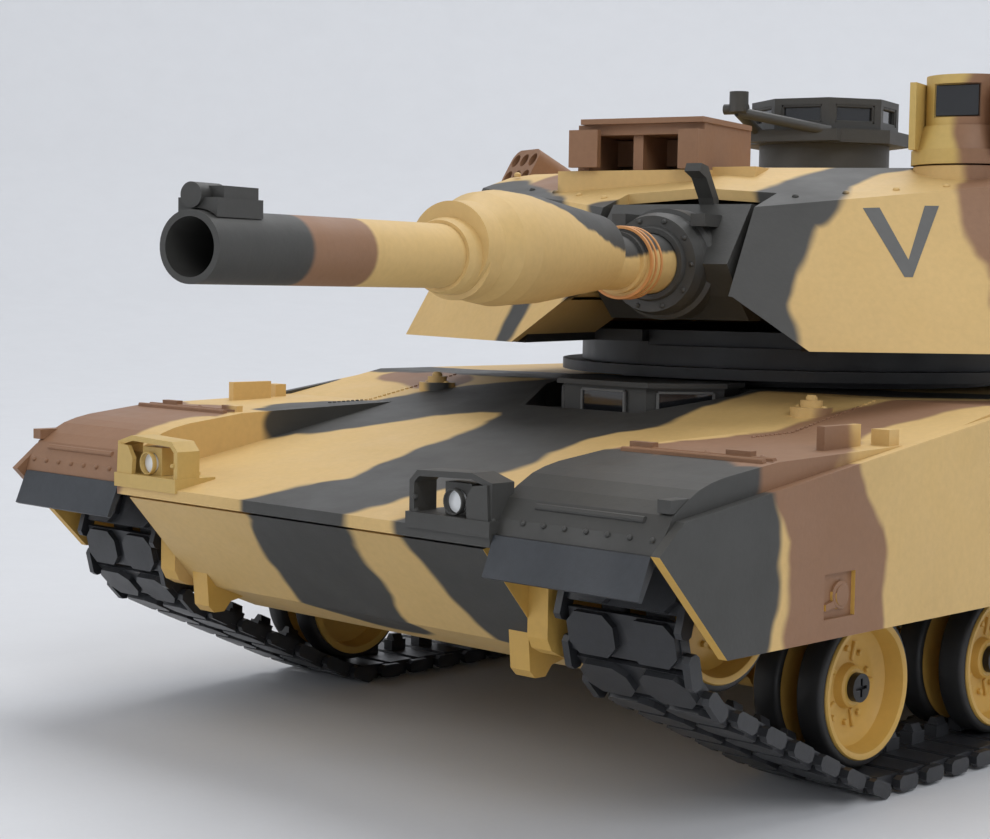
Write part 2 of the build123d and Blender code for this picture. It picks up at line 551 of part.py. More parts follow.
def screws():
    """Axle screws, hull screws and battery-door screw, all of one pan-head kind."""
    heads = []
    head_r = 2.3
    for y, z in list(zip(WHEEL_Y, WHEEL_Z)) + [IDLER_YZ]:
        head = rod_x(y, z, head_r, HUB_FACE + 0.1, HUB_FACE + 1.3) + rod_x(y, z, 0.9, HUB_FACE - 0.2, HUB_FACE + 0.5)
        for cross in ((0.28, 1.5), (1.5, 0.28)):
            head -= block(HUB_FACE + 0.8, HUB_FACE + 2, y - cross[0], y + cross[0], z - cross[1], z + cross[1])
        heads.append(head)
    solids = both_sides(heads)
    for x, y in [(x, y) for x in (-34, 34) for y in (-88, 72)] + [(0, BATTERY_BOX[3] + 3)]:
        solids.append(rod_z(x, y, head_r, BELLY_Z - 0.9, BELLY_Z - 0.02))
    return solids


def track_path():
    """Pin positions (y, z) along the closed track, round four circles and the straight runs between them."""
    end_wheel_r = PIN_LINE_R + END_WHEEL_RISE
    circles = [(*IDLER_YZ, END_PATH_R), (WHEEL_Y[0], WHEEL_Z[0], end_wheel_r), (WHEEL_Y[-1], WHEEL_Z[-1], end_wheel_r),
               (*SPROCKET_YZ, END_PATH_R)]

    def run(i):
        """Heading and length of the straight run that leaves circle i."""
        y, z, r = circles[i % 4]
        next_y, next_z, next_r = circles[(i + 1) % 4]
        span = hypot(next_y - y, next_z - z)
        return atan2(next_z - z, next_y - y) + asin((r - next_r) / span), (span ** 2 - (r - next_r) ** 2) ** 0.5

    stretches = []
    for i, circle in enumerate(circles):
        heading, length = run(i)
        before = run(i - 1)[0]
        turn = (heading - before) % (2 * pi)
        stretches.append((circle, before, turn * circle[2], True))
        stretches.append((circle, heading, length, False))
    total = sum(stretch[2] for stretch in stretches)

    def at(distance):
        for (y, z, r), heading, length, bent in stretches:
            if distance <= length:
                heading += distance / r if bent else 0.0
                ahead = 0.0 if bent else distance
                return y + r * sin(heading) + ahead * cos(heading), z - r * cos(heading) + ahead * sin(heading)
            distance -= length
        return at(0.0)

    return [at(total * i / LINK_COUNT) for i in range(LINK_COUNT)], total / LINK_COUNT


def track_link(pitch):
    """One link, centred on its pin line: length along +Y, ground side towards -Z, width along X."""
    half = pitch / 2 - 0.45
    body = side_prism([(-half, -0.5), (half, -0.5), (half, 0.1), (half - 0.45, TRACK_INNER), (0.45 - half, TRACK_INNER),
                       (-half, 0.1)], -10.1, 10.1)
    link = body
    for s in (-1, 1):
        x0, x1, corner = 1.2, 9.9, 1.7
        length = half - 0.15
        pad = [(x0, -length + corner), (x0 + corner, -length), (x1 - corner, -length), (x1, -length + corner),
               (x1, length - corner), (x1 - corner, length), (x0 + corner, length), (x0, length - corner)]
        link += plan_prism([(s * a, b) for a, b in pad], -TRACK_OUTER, -0.4)
        mid = pitch / 2
        connector = side_prism([(mid - 2.6, -0.6), (mid - 1.9, -1.25), (mid + 1.9, -1.25), (mid + 2.6, -0.6),
                                (mid + 2.6, 0.6), (mid + 1.9, 1.2), (mid - 1.9, 1.2), (mid - 2.6, 0.6)], 10.45, 11.7)
        web = block(9.9, 10.7, 1.3, half - 0.1, -0.5, 0.7)
        part = connector + web
        link += part if s > 0 else part.mirror(Plane.YZ)
    horn = prism([(-HORN_HALF, -1.9, TRACK_INNER - 0.2), (HORN_HALF, -1.9, TRACK_INNER - 0.2),
                  (HORN_HALF, 1.9, TRACK_INNER - 0.2), (-HORN_HALF, 1.9, TRACK_INNER - 0.2)], (0, 0, 2.2))
    tip = front_prism([(-HORN_HALF, 3.2), (HORN_HALF, 3.2), (0.5, 4.6), (-0.5, 4.6)], -1.3, 1.3)
    return link + horn + tip


def track(side):
    pins, pitch = track_path()
    link = track_link(pitch)
    links = []
    for i, (y0, z0) in enumerate(pins):
        y1, z1 = pins[(i + 1) % len(pins)]
        heading = degrees(atan2(z1 - z0, y1 - y0))
        place = Location((side * TRACK_X, (y0 + y1) / 2, (z0 + z1) / 2), (heading, 0, 0))
        links.append(link.moved(place))
    return links


# ---- turret -------------------------------------------------------------------------------------------------
CHEEK_NORMAL = (sin(radians(CHEEK_SWEEP)) * cos(radians(CHEEK_LEAN)), -cos(radians(CHEEK_SWEEP)) * cos(radians(CHEEK_LEAN)),
                sin(radians(CHEEK_LEAN)))
SIDE_PLANE = (1.0, 0.096, 0.23)                # outward normal of the left side plate
SLOT_HALF = 14.4                               # half the gap between the cheeks, which the gun shield fills
SLOT_BACK_Y = -46.0
SHELL_LOW_Z = 66.8


def turret_body(inset=0.0):
    """The turret's outside, or with an inset its inside: a half block cut by the plane of each plate, mirrored."""
    half = block(0, 75, -100, TURRET_BACK + 5, SHELL_LOW_Z - (9 if inset else 0), ROOF_Z - inset)
    planes = [(CHEEK_BASE, CHEEK_NORMAL), (ROOF_FRONT, (0.07, -0.27, 1)), ((TURRET_HALF, -52, 68), SIDE_PLANE),
              ((50, 0, ROOF_Z), (0.16, 0.0, 1)), ((0, TURRET_BACK, 72), (0, 1, -0.25)), ((0, 60, SHELL_LOW_Z), (0, 0.09, -1))]
    for point, normal in planes:
        length = hypot(*normal)
        half = cut_beyond(half, [p - inset * n / length for p, n in zip(point, normal)], normal)
    corner = [(10, -84, 76.6), (15, -78, 75.6), (28.2, -78, 66.7), (28.2, -84, 60), (10, -84, 60)]
    half -= prism([(x, -100, z) for x, _, z in corner], (0, 56, 0)) if not inset else block(0, 26, -100, -46, 50, 74.5)
    return half + half.mirror(Plane.YZ)


def side_boxes():
    """The stowage boxes along each side of the turret."""
    box = block(45, 75, 4, 87, 76.5, 93.0)
    box = cut_beyond(box, (TURRET_HALF + 5.4, -52, 68), SIDE_PLANE)
    for y in (34.5, 66):
        box -= cut_beyond(block(40, 75, y, y + 0.7, 76, 94), (TURRET_HALF + 4.6, -52, 68), [-n for n in SIDE_PLANE])
    return box - turret_body()


def turret_shell():
    """The upper turret moulding, open below, with the slot for the gun shield between its cheeks."""
    shell = turret_body() - turret_body(WALL)
    pad = block(-33, -2.4, -49, -24, 92, 98.7) + block(-2.5, 6, -46, -26, 92, 99.3)
    shell += pad - turret_body()
    shell -= block(-SLOT_HALF, SLOT_HALF, -110, SLOT_BACK_Y, 60, 91.4)
    shell -= rod_x(TRUNNION_Y, GUN_Z, 22.6, -SLOT_HALF, SLOT_HALF) - block(-20, 20, -56.8, 0, 60, 110)
    for x, y in (CUPOLA_XY, LOADER_XY):
        shell -= rod_z(x, y, 9.5, ROOF_Z - 6, ROOF_Z + 3)
    shell -= rod_z(*CITV_XY, 3.1, ROOF_Z - 12, ROOF_Z + 3)
    x, y = CITV_XY
    seat = rod_z(x, y, 9.2, ROOF_Z - 8, ROOF_Z) - rod_z(x, y, 3.1, ROOF_Z - 12, ROOF_Z + 3)
    shell += seat - turret_body()
    for s in (-1, 1):
        jamb = side_prism([(-76, 75.4), (-65.2, 91.4), (-47, 91.4), (-47, 70), (-70, 70)], s * SLOT_HALF, s * (SLOT_HALF + 1.4))
        shell += jamb & turret_body()
        shell += rod_x(TRUNNION_Y, GUN_Z, 4.4, s * SLOT_HALF, s * (SLOT_HALF + 3))
        shell -= rod_x(TRUNNION_Y, GUN_Z, 2.6, s * (SLOT_HALF - 1), s * (SLOT_HALF + 4))
    boxes = side_boxes()
    shell += boxes
    shell += boxes.mirror(Plane.YZ)
    return [shell]


def turret_base():
    """The round plate under the turret, its collar through the deck, and the ring gear under the collar."""
    floor = turret_body(WALL + 0.25) & block(-70, 70, -100, 39.0, SHELL_LOW_Z - 0.1, SHELL_LOW_Z + 2.1)
    drum = rod_z(0, 0, 46, TURRET_LOW_Z + 1.9, SHELL_LOW_Z - 0.05)
    disc = rod_z(0, 0, 50, TURRET_LOW_Z, TURRET_LOW_Z + 2)
    collar = rod_z(0, 0, RING_R - PLAY, RING_GEAR_Z[1], TURRET_LOW_Z + 0.2)
    base = floor + drum
    base += disc
    base += collar
    base -= rod_z(0, 0, RING_R - 3.5, 40, 75)
    base -= rod_z(0, 0, 44, TURRET_LOW_Z + 2, SHELL_LOW_Z - 1.5)
    base -= block(-16, 16, -100, -43, 66, 75)
    toothed = gear(RING_TEETH, GEAR_MODULE, RING_GEAR_Z[1] - RING_GEAR_Z[0] - 0.02, bore=RING_R - 3.5,
                   phase=pi / 2 - radians(TURRET_REST))
    return [base, toothed.moved(Location((0, 0, RING_GEAR_Z[0])))]


def sight_housing():
    """The gunner's sight housing on the right of the roof, open at the front, with its window pane."""
    x0, x1, y0, y1, top = -29.5, -3.6, -47.5, -24.5, 107.4
    low = ROOF_Z - 6
    case = block(x0, x1, y0, y1, low, top) - block(x0 + 2.4, x1 - 2.4, y0 - 1, y1 - 8, low - 1, top - 2.0)
    roof = turret_body() + block(-33, -2.4, -49, -24, 92, 98.7)
    case = case - roof
    lid = block(x0 + 1.2, x1 + 0.4, y0 - 1.6, y1 - 0.6, top, top + 1.0)
    rib = block(-18.4, -16.4, y0 + 1, y1 - 7, 98, top - 1.5) - roof
    pane = block(x0 + 2.6, x1 - 2.6, y1 - 11, y1 - 9.8, 100.2, top - 2.2) - rib
    return [case + lid + rib, pane - roof]


def sight_doors():
    """The two armoured doors of the sight, standing open."""
    left = block(-30.0, -24.0, -50.6, -49.1, 99.3, 106.3)
    right = block(-7.2, -3.2, -51.4, -49.9, 98.8, 106.0) + block(-4.2, -3.2, -50.0, -47.7, 98.8, 106.0)
    return [left, right]


def smoke_launchers():
    """A grenade launcher on each side of the roof: a rounded case with two rows of three tubes."""
    aim = Vector(0.5, -0.72, 0.48).normalized()
    across = Vector(0.82, 0.57, 0).normalized()
    up = across.cross(aim) * -1 if across.cross(aim).Z < 0 else across.cross(aim)
    front = Vector(60.0, -14.0, 101.6)
    back = front - aim * 11.0
    plane = Plane(back, x_dir=across, z_dir=aim)
    case = None
    for a in (-3.6, 3.6):
        for b in (-2.0, 2.0):
            lobe = Solid.make_cylinder(2.6, 11.0, Plane(plane.from_local_coords((a, b, 0)), x_dir=across, z_dir=aim))
            case = lobe if case is None else case + lobe
    for width, height in ((3.6, 4.6), (6.2, 2.0)):
        corner = plane.from_local_coords((-width, -height, 0))
        case += Solid.make_box(2 * width, 2 * height, 11.0, Plane(corner, x_dir=across, z_dir=aim))
    for a in (-3.9, 0.0, 3.9):
        for b in (-2.0, 2.0):
            mouth = plane.from_local_coords((a, b, 5.0))
            case -= Solid.make_cylinder(1.5, 8.0, Plane(mouth, x_dir=across, z_dir=aim))
    foot = rod(tuple(back - aim * 1.5 - up * 6.0), tuple(back + aim * 3.0), 2.6)
    launcher = (case + foot) - (turret_body() + side_boxes())
    return both_sides([launcher])


def bustle_rack():
    """The stowage rack of bars round the turret's rear."""
    y0, y1 = TURRET_BACK - 6, TURRET_BACK + 16
    x = 42.0
    bars = None
    for z in (74.0, 81.0, 88.0):
        loop = block(-x, x, y0, y1, z, z + 1.6) - block(1.6 - x, x - 1.6, y0 - 5, y1 - 1.6, z - 1, z + 3)
        bars = loop if bars is None else bars + loop
    for px in (-x, -30, -10, 8.4, 28.4, x - 1.6):
        bars += block(px, px + 1.6, y1 - 1.6, y1, 74, 89.6)
    for s in (-1, 1):
        edge = x - 1.6 if s > 0 else -x
        for y in (TURRET_BACK + 2, TURRET_BACK + 10):
            bars += block(edge, edge + 1.6, y, y + 1.6, 74, 89.6)
    floor = block(1 - x, x - 1, TURRET_BACK - 4, y1 - 0.5, 74.0, 75.0)
    return [(bars + floor) - turret_body()]


ANTENNA_XY = (30.0, 100.0)
ANTENNA_R, ANTENNA_TOP = 0.6, 9.0


def roof_fittings():
    """Antenna mounts, lifting eyes and the wind sensor."""
    pieces = []
    for s in (-1, 1):
        base = rod_z(s * ANTENNA_XY[0], ANTENNA_XY[1], 3.0, ROOF_Z - 3, ROOF_Z + 3)
        base += rod_z(s * ANTENNA_XY[0], ANTENNA_XY[1], 1.5, ROOF_Z + 2.9, ROOF_Z + ANTENNA_TOP)
        base -= rod_z(s * ANTENNA_XY[0], ANTENNA_XY[1], ANTENNA_R, ROOF_Z + 4, ROOF_Z + 12)
        pieces.append(base - turret_body())
        pieces.append(block(s * 42 - 1, s * 42 + 1, 70, 75, ROOF_Z - 3, ROOF_Z + 2) - turret_body())
    pieces.append(rod_z(0, 92, 2.2, ROOF_Z + 0.02, ROOF_Z + 4) + rod_z(0, 92, 0.9, ROOF_Z + 3.9, ROOF_Z + 14)
                  + rod_z(0, 92, 1.8, ROOF_Z + 12, ROOF_Z + 14.5))
    return pieces


def elevation_unit():
    """The gearmotor and crank that raise and lower the gun, inside the turret's left side."""
    case = block(20, 34, -38, -20, 70, 84)
    motor = rod_y(27, 77, 6.0, -20.5, -4)
    return [case + motor]


def citv_head():
    """The commander's panoramic sight: a round head with a hood, on a stub that turns in the roof."""
    x, y = CITV_XY
    seat = ROOF_Z + 0.3
    stub = rod_z(x, y, 2.8, ROOF_Z - 4, seat + 1)
    flange = rod_z(x, y, 9.6, seat, seat + 2.6)
    skirt_low = rod((x, y, seat + 2.6), (x, y, seat + 7.0), 9.2, 7.6)
    drum = rod_z(x, y, 7.2, seat + 6.9, seat + 16.0)
    window = block(x - 4.2, x + 4.2, y - 12, y - 5.6, seat + 8.4, seat + 14.4)
    hood = plan_prism([(x - 8.0, y - 8.4), (x - 6.8, y - 8.4), (x - 6.8, y + 2), (x - 8.0, y + 2)], seat + 2.6, seat + 14.6)
    return [(stub + flange + skirt_low + drum + hood + hood.mirror(Plane.YZ).moved(Location((2 * x, 0, 0)))) - window]


CUPOLA_SEAT = 8.0                              # height of the ring of vision blocks above the roof gap
CUPOLA_TOP = 17.4
LID_Z = CUPOLA_TOP - 1.9                       # underside of the lid, which lies flush in the ring


def cupola():
    """The commander's cupola: a turning ring of vision blocks with the gun mount's arms on its front."""
    x, y = CUPOLA_XY
    seat = ROOF_Z + 0.3
    across_corners = CUPOLA_R / cos(pi / 8)
    octagon = [(x + a, y + b) for a, b in ring_of(8, across_corners - 1.0, pi / 8)]
    plate = [(x + a, y + b) for a, b in ring_of(8, across_corners + 1.6, pi / 8)]
    inner = [(x + a, y + b) for a, b in ring_of(8, across_corners - 4.4, pi / 8)]
    ring = rod_z(x, y, CUPOLA_R - 1.5, seat, seat + CUPOLA_SEAT + 0.1) + rod_z(x, y, 9.2, ROOF_Z - 4, seat + 1)
    ring += plan_prism(plate, seat + CUPOLA_SEAT, seat + CUPOLA_SEAT + 2.8)
    ring += plan_prism(octagon, seat + CUPOLA_SEAT + 2.7, seat + CUPOLA_TOP)
    ring -= plan_prism(inner, seat + LID_Z - 0.3, seat + CUPOLA_TOP + 1)
    ring -= rod_z(x, y, 7.6, ROOF_Z - 5, seat + CUPOLA_TOP)
    for i in range(8):
        window = block(-4.5, 4.5, CUPOLA_R - 2.2, CUPOLA_R, seat + CUPOLA_SEAT + 4.2, seat + CUPOLA_TOP - 1.4)
        ring -= window.moved(Location((x, y, 0), (0, 0, 45 * i)))
    pintle_x, pintle_y = x - 10.6, y - CUPOLA_R - 8.0
    mount = rod_z(pintle_x, pintle_y, 2.0, seat + 14.0, seat + 18.2)
    mount += rod((pintle_x - 3.2, pintle_y, seat + 14.6), (pintle_x + 2, pintle_y, seat + 14.6), 1.1)
    for foot_x in (x - 9.0, x + 7.0):
        mount += rod((pintle_x, pintle_y, seat + 14.0), (foot_x, y - CUPOLA_R - 0.6, seat + 10.2), 1.1)
    mount += block(x - 11, x + 9, y - CUPOLA_R - 2.2, y - CUPOLA_R + 2.4, seat + CUPOLA_SEAT + 0.2, seat + CUPOLA_SEAT + 2.6)
    mount -= rod_z(pintle_x, pintle_y, 0.9, seat + 15, seat + 19)
    return [ring + mount]


def commander_hatch():
    """The commander's lid, hinged at the rear of the cupola."""
    x, y = CUPOLA_XY
    z = ROOF_Z + 0.3 + LID_Z
    lid = plan_prism([(x + a, y + b) for a, b in ring_of(8, CUPOLA_R / cos(pi / 8) - 4.8, pi / 8)], z, z + 1.8)
    hinge = block(x - 4, x + 4, y + 6.0, y + 9.4, z, z + 2.4)
    handle = rod_z(x, y - 5, 1.8, z + 1.7, z + 2.6)
    knuckle = rod_x(y + 10.9, z + 1.8, 0.45, x - 3.5, x + 3.5)
    return [lid + hinge + handle + knuckle]


def loader_hatch():
    """The loader's round lid, hinged at its left edge."""
    x, y = LOADER_XY
    lid = rod_z(x, y, LOADER_R, ROOF_Z + 0.3, ROOF_Z + 2.2)
    handle = block(x - 5, x - 4, y - 3, y + 3, ROOF_Z + 2.1, ROOF_Z + 3.4)
    knuckle = rod_y(x + LOADER_R, ROOF_Z + 2.0, 1.0, y - 3.5, y + 3.5)
    return [lid + handle + knuckle]


# ---- gun ----------------------------------------------------------------------------------------------------
SHIELD_HALF = 13.2


def gun_shield():
    """The shield between the cheeks, with the round mount for the barrel, the trunnion pins and a hook on top."""
    face = side_prism([(-65.6, 91.6), (-76.2, 81.1), (-71.0, 75.6), (-65.5, 71.4), (-60, 71.4), (-60, 91.6)],
                      -SHIELD_HALF, SHIELD_HALF)
    arms = [side_prism([(-60.5, 90.6), (-52, 88.0), (-45.8, 84), (-45.8, 77), (-52, 73.4), (-60.5, 72.4)],
                       s * (SHIELD_HALF - 1.8), s * SHIELD_HALF) for s in (-1, 1)]
    shield = face
    for arm in arms:
        shield += arm
    for s in (-1, 1):
        shield += rod_x(TRUNNION_Y, GUN_Z, 2.5, s * (SHIELD_HALF - 1.9), s * (SLOT_HALF + 2.6))
    shield += turned_gun([(-78.0, 6.2), (-78.0, 8.2), (-75.6, 8.8), (-73.4, 8.8), (-73.0, 9.6), (-62, 9.6), (-62, 6.2)])
    for s in (-1, 1):
        shield += block(s * 7.4 - 1.3, s * 7.4 + 1.3, -75.6, -68, GUN_Z + 6.5, GUN_Z + 8.6)
    shield += side_prism([(-72.5, 97.0), (-71.6, 98.4), (-68.6, 98.0), (-63.6, 92.6), (-63.6, 91.0), (-65.4, 91.0),
                          (-66.2, 92.6), (-69.4, 96.0)], 3.4, 6.2)
    shield -= rod_y(0, GUN_Z, 6.2, -90, -40)
    return [shield]


INNER_BARREL_Y = MUZZLE_Y + 14.0               # the wide bore ends here, and the pellet barrel begins behind it
GUIDE_R = 3.3                                  # the outer barrel's bore round the pellet barrel
PELLET_R = 3.04
EVACUATOR_RISE = 1.4                           # the bore evacuator sits off the gun's axis, upwards


def gun_barrel():
    """The outer barrel with its thermal sleeve, the bore evacuator and the muzzle sensor, as separate solids."""
    tube = turned_gun([(MUZZLE_Y, BORE_R), (MUZZLE_Y, MUZZLE_R), (-150, TUBE_R), (-92, TUBE_R), (-92, 5.1), (-60, 5.1),
                       (-60, GUIDE_R), (INNER_BARREL_Y, GUIDE_R), (INNER_BARREL_Y, BORE_R)])
    evacuator = turned_gun([(-146.5, 2), (-146.5, 6.4), (-142.0, 6.6), (-138.5, 8.0), (-134.0, 8.5), (-122, 8.1),
                            (-108, 6.8), (-101.5, 6.2), (-101.5, 2)]).moved(Location((0, 0, EVACUATOR_RISE)))
    evacuator += turned_gun([(-149.5, 2), (-149.5, 5.0), (-148.2, 5.4), (-145.6, 5.5), (-145.4, 6.2), (-142, 6.2), (-142, 2)])
    evacuator -= rod_y(0, GUN_Z, TUBE_R + 0.02, -155, -95)
    bands = [turned_gun([(y, 5.12), (y, 5.9), (y + 1.2, 5.9), (y + 1.2, 5.12)]) for y in (-90.5, -88.4)]
    sensor = block(-2.8, 2.8, MUZZLE_Y + 1.5, MUZZLE_Y + 10.5, GUN_Z + 3.2, GUN_Z + MUZZLE_R + 1.4)
    sensor += rod_y(-0.6, GUN_Z + MUZZLE_R + 1.7, 1.5, MUZZLE_Y + 1.0, MUZZLE_Y + 6)
    sensor += block(-0.9, 2.6, MUZZLE_Y + 3, MUZZLE_Y + 9.8, GUN_Z + MUZZLE_R + 1.2, GUN_Z + MUZZLE_R + 2.8)
    sensor -= rod_y(0, GUN_Z, MUZZLE_R + 0.16, MUZZLE_Y - 1, MUZZLE_Y + 20)
    return [tube, evacuator] + bands + [sensor]


def breech_unit():
    """The spring piston unit that fires the pellets, with its inner barrel."""
    body = block(-8, 8, -58.5, -20, 73.5, 88.0)
    front = INNER_BARREL_Y + 1.0
    inner = turned_gun([(front, PELLET_R), (front, GUIDE_R - 0.02), (-58.4, GUIDE_R - 0.02), (-58.4, PELLET_R)])
    return [body, inner]


# ---- placing and writing ------------------------------------------------------------------------------------
HULL_PLACE = Location((0, RING_Y, -GROUND_Z))
TURRET_PLACE = Location((0, RING_Y, -GROUND_Z), (0, 0, TURRET_REST))


def write(name, solids, place):
    placed = [s.moved(place) for s in solids]
    pieces = [solid for shape in placed for solid in shape.solids()]
    export_step(Compound(children=pieces), f"parts/{name}.step")


def main():
    os.makedirs("parts", exist_ok=True)
    hull_nodes = {
        "lower_hull": [lower_hull()], "upper_hull": upper_hull(), "side_skirt_left": side_skirt(),
        "side_skirt_right": mirrored(side_skirt()), "mud_flaps": mud_flaps(), "headlight_guards": headlight_guards(),
        "headlight_lamps": headlight_lamps(), "headlight_lenses": headlight_lenses(), "driver_hatch": driver_hatch(),
        "driver_periscopes": driver_periscopes(), "tow_hooks": tow_hooks(), "tail_lights": tail_lights(),
        "screws": screws(), "battery_pack": battery_pack(), "battery_door": battery_door(),
        "circuit_board": circuit_board(), "gearbox_housings": gearbox_housings(), "drive_motors": drive_motors(),
        "suspension_arms": suspension_arms(), "track_left": track(1), "track_right": track(-1),
        "traverse_motor": traverse_motor(), "deck_fittings": deck_fittings(), "power_switch": power_switch(),
        "traverse_pinion": traverse_pinion(),
    }
    for side, word in ((1, "left"), (-1, "right")):
        for i, (y, z) in enumerate(zip(WHEEL_Y, WHEEL_Z)):
            hull_nodes[f"road_wheel_{word}_{i + 1}"] = wheel_node(side, y, z)
        hull_nodes[f"idler_{word}"] = wheel_node(side, *IDLER_YZ)
        hull_nodes[f"sprocket_{word}"] = sprocket_node(side)
        hull_nodes[f"motor_pinion_{word}"] = motor_pinion(side)
    turret_nodes = {
        "turret_shell": turret_shell(), "turret_base": turret_base(), "sight_housing": sight_housing(),
        "sight_doors": sight_doors(), "smoke_launchers": smoke_launchers(), "bustle_rack": bustle_rack(),
        "roof_fittings": roof_fittings(), "elevation_unit": elevation_unit(), "citv_head": citv_head(),
        "cupola": cupola(), "commander_hatch": commander_hatch(), "loader_hatch": loader_hatch(),
        "gun_shield": gun_shield(), "gun_barrel": gun_barrel(), "breech_unit": breech_unit(),
    }
    for name, solids in hull_nodes.items():
        write(name, solids, HULL_PLACE)
    for name, solids in turret_nodes.items():
        write(name, solids, TURRET_PLACE)


if __name__ == "__main__":
    main()
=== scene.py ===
from math import cos, pi, radians, sin

import bmesh
import bpy
from mathutils import Matrix, Vector


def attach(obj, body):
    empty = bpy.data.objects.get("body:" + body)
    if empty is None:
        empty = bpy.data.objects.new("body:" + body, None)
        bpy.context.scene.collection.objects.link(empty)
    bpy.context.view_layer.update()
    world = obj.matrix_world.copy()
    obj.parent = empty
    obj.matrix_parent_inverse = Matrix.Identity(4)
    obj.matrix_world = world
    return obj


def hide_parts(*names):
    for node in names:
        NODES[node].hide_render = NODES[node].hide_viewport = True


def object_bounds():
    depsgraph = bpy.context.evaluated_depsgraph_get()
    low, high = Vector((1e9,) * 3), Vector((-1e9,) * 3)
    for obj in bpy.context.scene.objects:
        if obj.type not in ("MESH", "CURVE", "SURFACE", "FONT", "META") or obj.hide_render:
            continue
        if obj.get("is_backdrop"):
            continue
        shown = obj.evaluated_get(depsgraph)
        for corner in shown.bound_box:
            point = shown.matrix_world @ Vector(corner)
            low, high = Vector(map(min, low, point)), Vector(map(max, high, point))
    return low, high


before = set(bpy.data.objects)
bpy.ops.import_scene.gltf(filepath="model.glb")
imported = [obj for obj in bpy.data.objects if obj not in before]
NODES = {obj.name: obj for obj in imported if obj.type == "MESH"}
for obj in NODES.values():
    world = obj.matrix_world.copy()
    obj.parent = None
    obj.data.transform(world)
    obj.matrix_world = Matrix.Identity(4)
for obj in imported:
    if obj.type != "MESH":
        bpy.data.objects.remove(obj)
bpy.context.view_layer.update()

# ---- the frames that the parts are drawn in, in millimetres ----
MM = 0.001
RING_Y = 4.3157                                   # the turret ring's axis in the row's frame
TURRET_REST = radians(15.2)
GROUND_Z = -1.6                                   # the ground, in those frames
PLACE = Matrix.Translation((0, RING_Y * MM, -GROUND_Z * MM))
HULL = PLACE @ Matrix.Scale(MM, 4)
TURRET = PLACE @ Matrix.Rotation(TURRET_REST, 4, "Z") @ Matrix.Scale(MM, 4)

SAND = (0.640, 0.430, 0.165)
SAND_YELLOW = (0.620, 0.375, 0.085)
BROWN = (0.260, 0.135, 0.070)
GREY = (0.048, 0.047, 0.043)
BLACK = (0.020, 0.020, 0.021)


